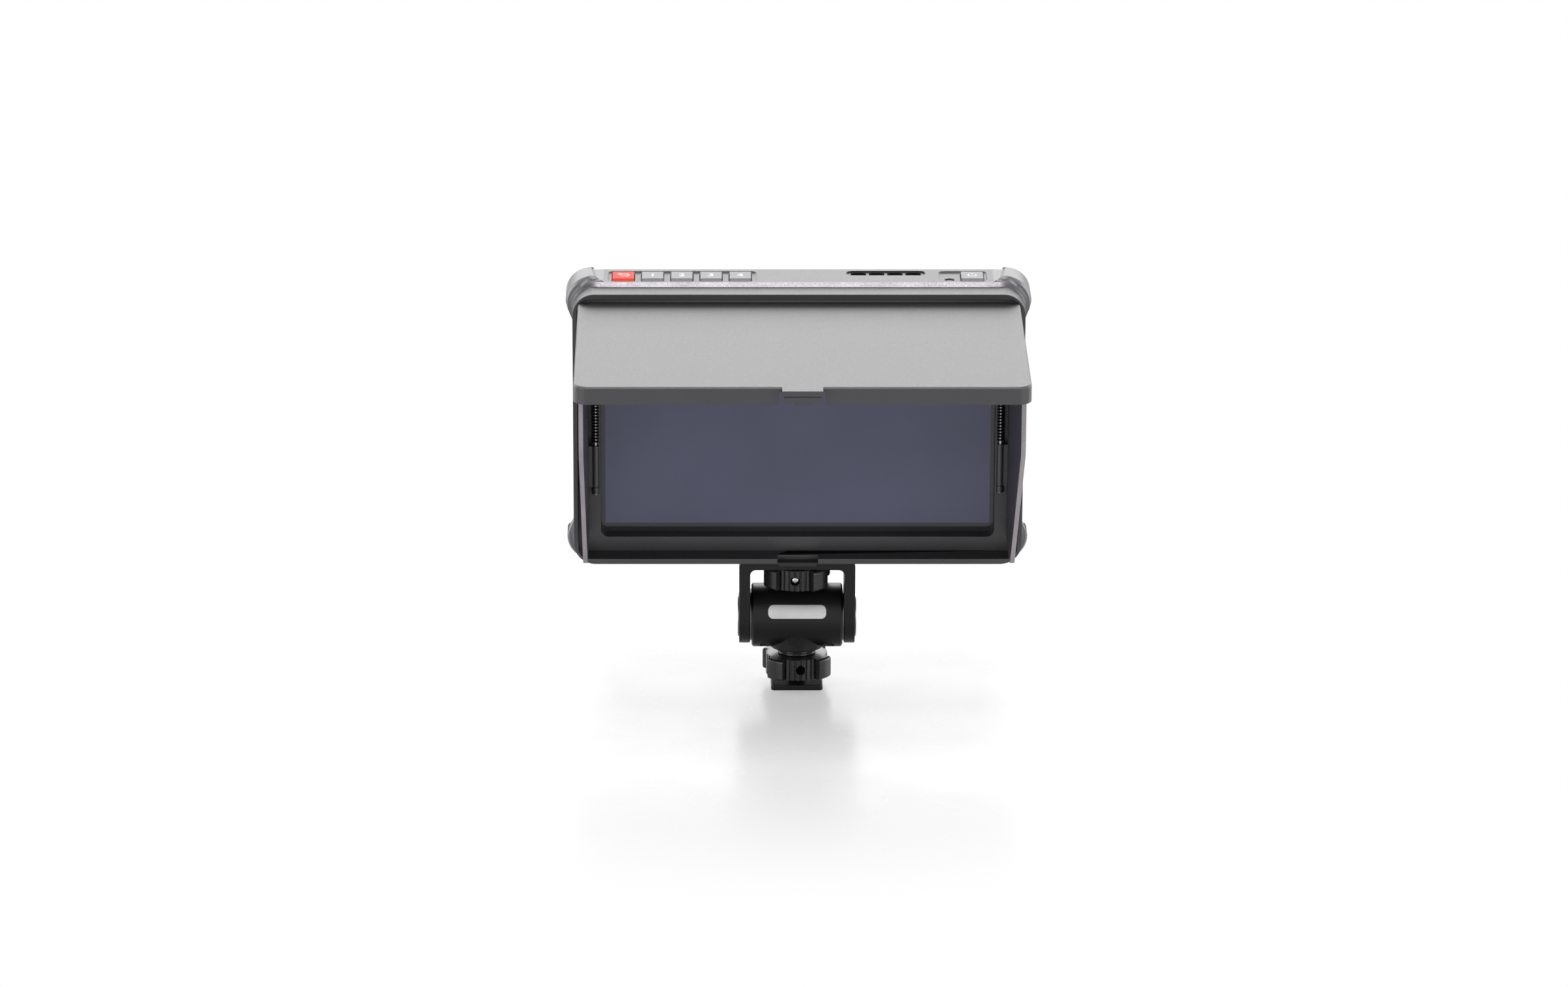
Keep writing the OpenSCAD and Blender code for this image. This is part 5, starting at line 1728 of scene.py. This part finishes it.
    def build(self) -> None:
        """Set up the whole studio."""
        self.floor()
        self.world()
        self.lamp("overhead_softbox", turn=0, elevation=67, distance=2.0, size=(0.9, 0.9), radiance=8.5)
        self.lamp("rear_softbox", turn=180, elevation=28, distance=2.2, size=(2.8, 1.3), radiance=3.1)
        for side in Side:
            self.lamp(f"{side.word}_rear_softbox", turn=115 * side.value, elevation=15, distance=2.0,
                      size=(1.0, 1.6), radiance=4.0)
            self.lamp(f"{side.word}_front_softbox", turn=45 * side.value, elevation=4, distance=2.0,
                      size=(1.2, 1.2), radiance=3.1)
        self.camera()
        bpy.context.scene.view_settings.view_transform = "Standard"


def main() -> None:
    """Build every sub-assembly in order, and log each one."""
    logging.basicConfig(level=logging.INFO, format="%(message)s")
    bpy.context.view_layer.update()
    flaps = [SideFlap(side) for side in Side]
    keys = [
        Key(x=-59.9, width=7.4, node="return_button", symbol=Symbol.RETURN, look=Look.RED_KEY),
        Key(x=-49.9, width=7.4, node="function_button_1", symbol=Symbol.ONE, look=Look.KEY),
        Key(x=-39.9, width=7.4, node="function_button_2", symbol=Symbol.TWO, look=Look.KEY),
        Key(x=-29.9, width=7.4, node="function_button_3", symbol=Symbol.THREE, look=Look.KEY),
        Key(x=-19.9, width=7.4, node="function_button_4", symbol=Symbol.FOUR, look=Look.KEY),
        Key(x=59.4, width=7.6, node="power_button", symbol=Symbol.POWER, look=Look.KEY),
    ]
    wheels = [
        Thumbwheel("lower_thumbwheel", BRACKET, low=4.05, bore=3.05, hole_angle=277.0),
        Thumbwheel("upper_thumbwheel", YOKE, low=12.45, bore=3.175, hole_angle=265.5, locked=True),
    ]
    guards = [CornerGuard(side, upper) for upper in (True, False) for side in Side]
    trays = [
        KeyTray("key_tray", left=-65.2, right=-14.3, keys=[(key.x, key.width) for key in keys[:-1]]),
        KeyTray("power_tray", left=47.9, right=64.5, keys=[(keys[-1].x, keys[-1].width)], sensor_x=51.6),
    ]
    springs = [HingeSpring(flap) for flap in flaps]
    parts = [Studio(), Bracket(), Head(), *wheels, Body(), Bezel(), *guards, *trays, Screen(), *keys,
             HoodFrame(), TopFlap(), *flaps, *springs]
    for part in parts:
        part.build()
        LOG.info("built %s", type(part).__name__)


if __name__ == "__main__":
    main()
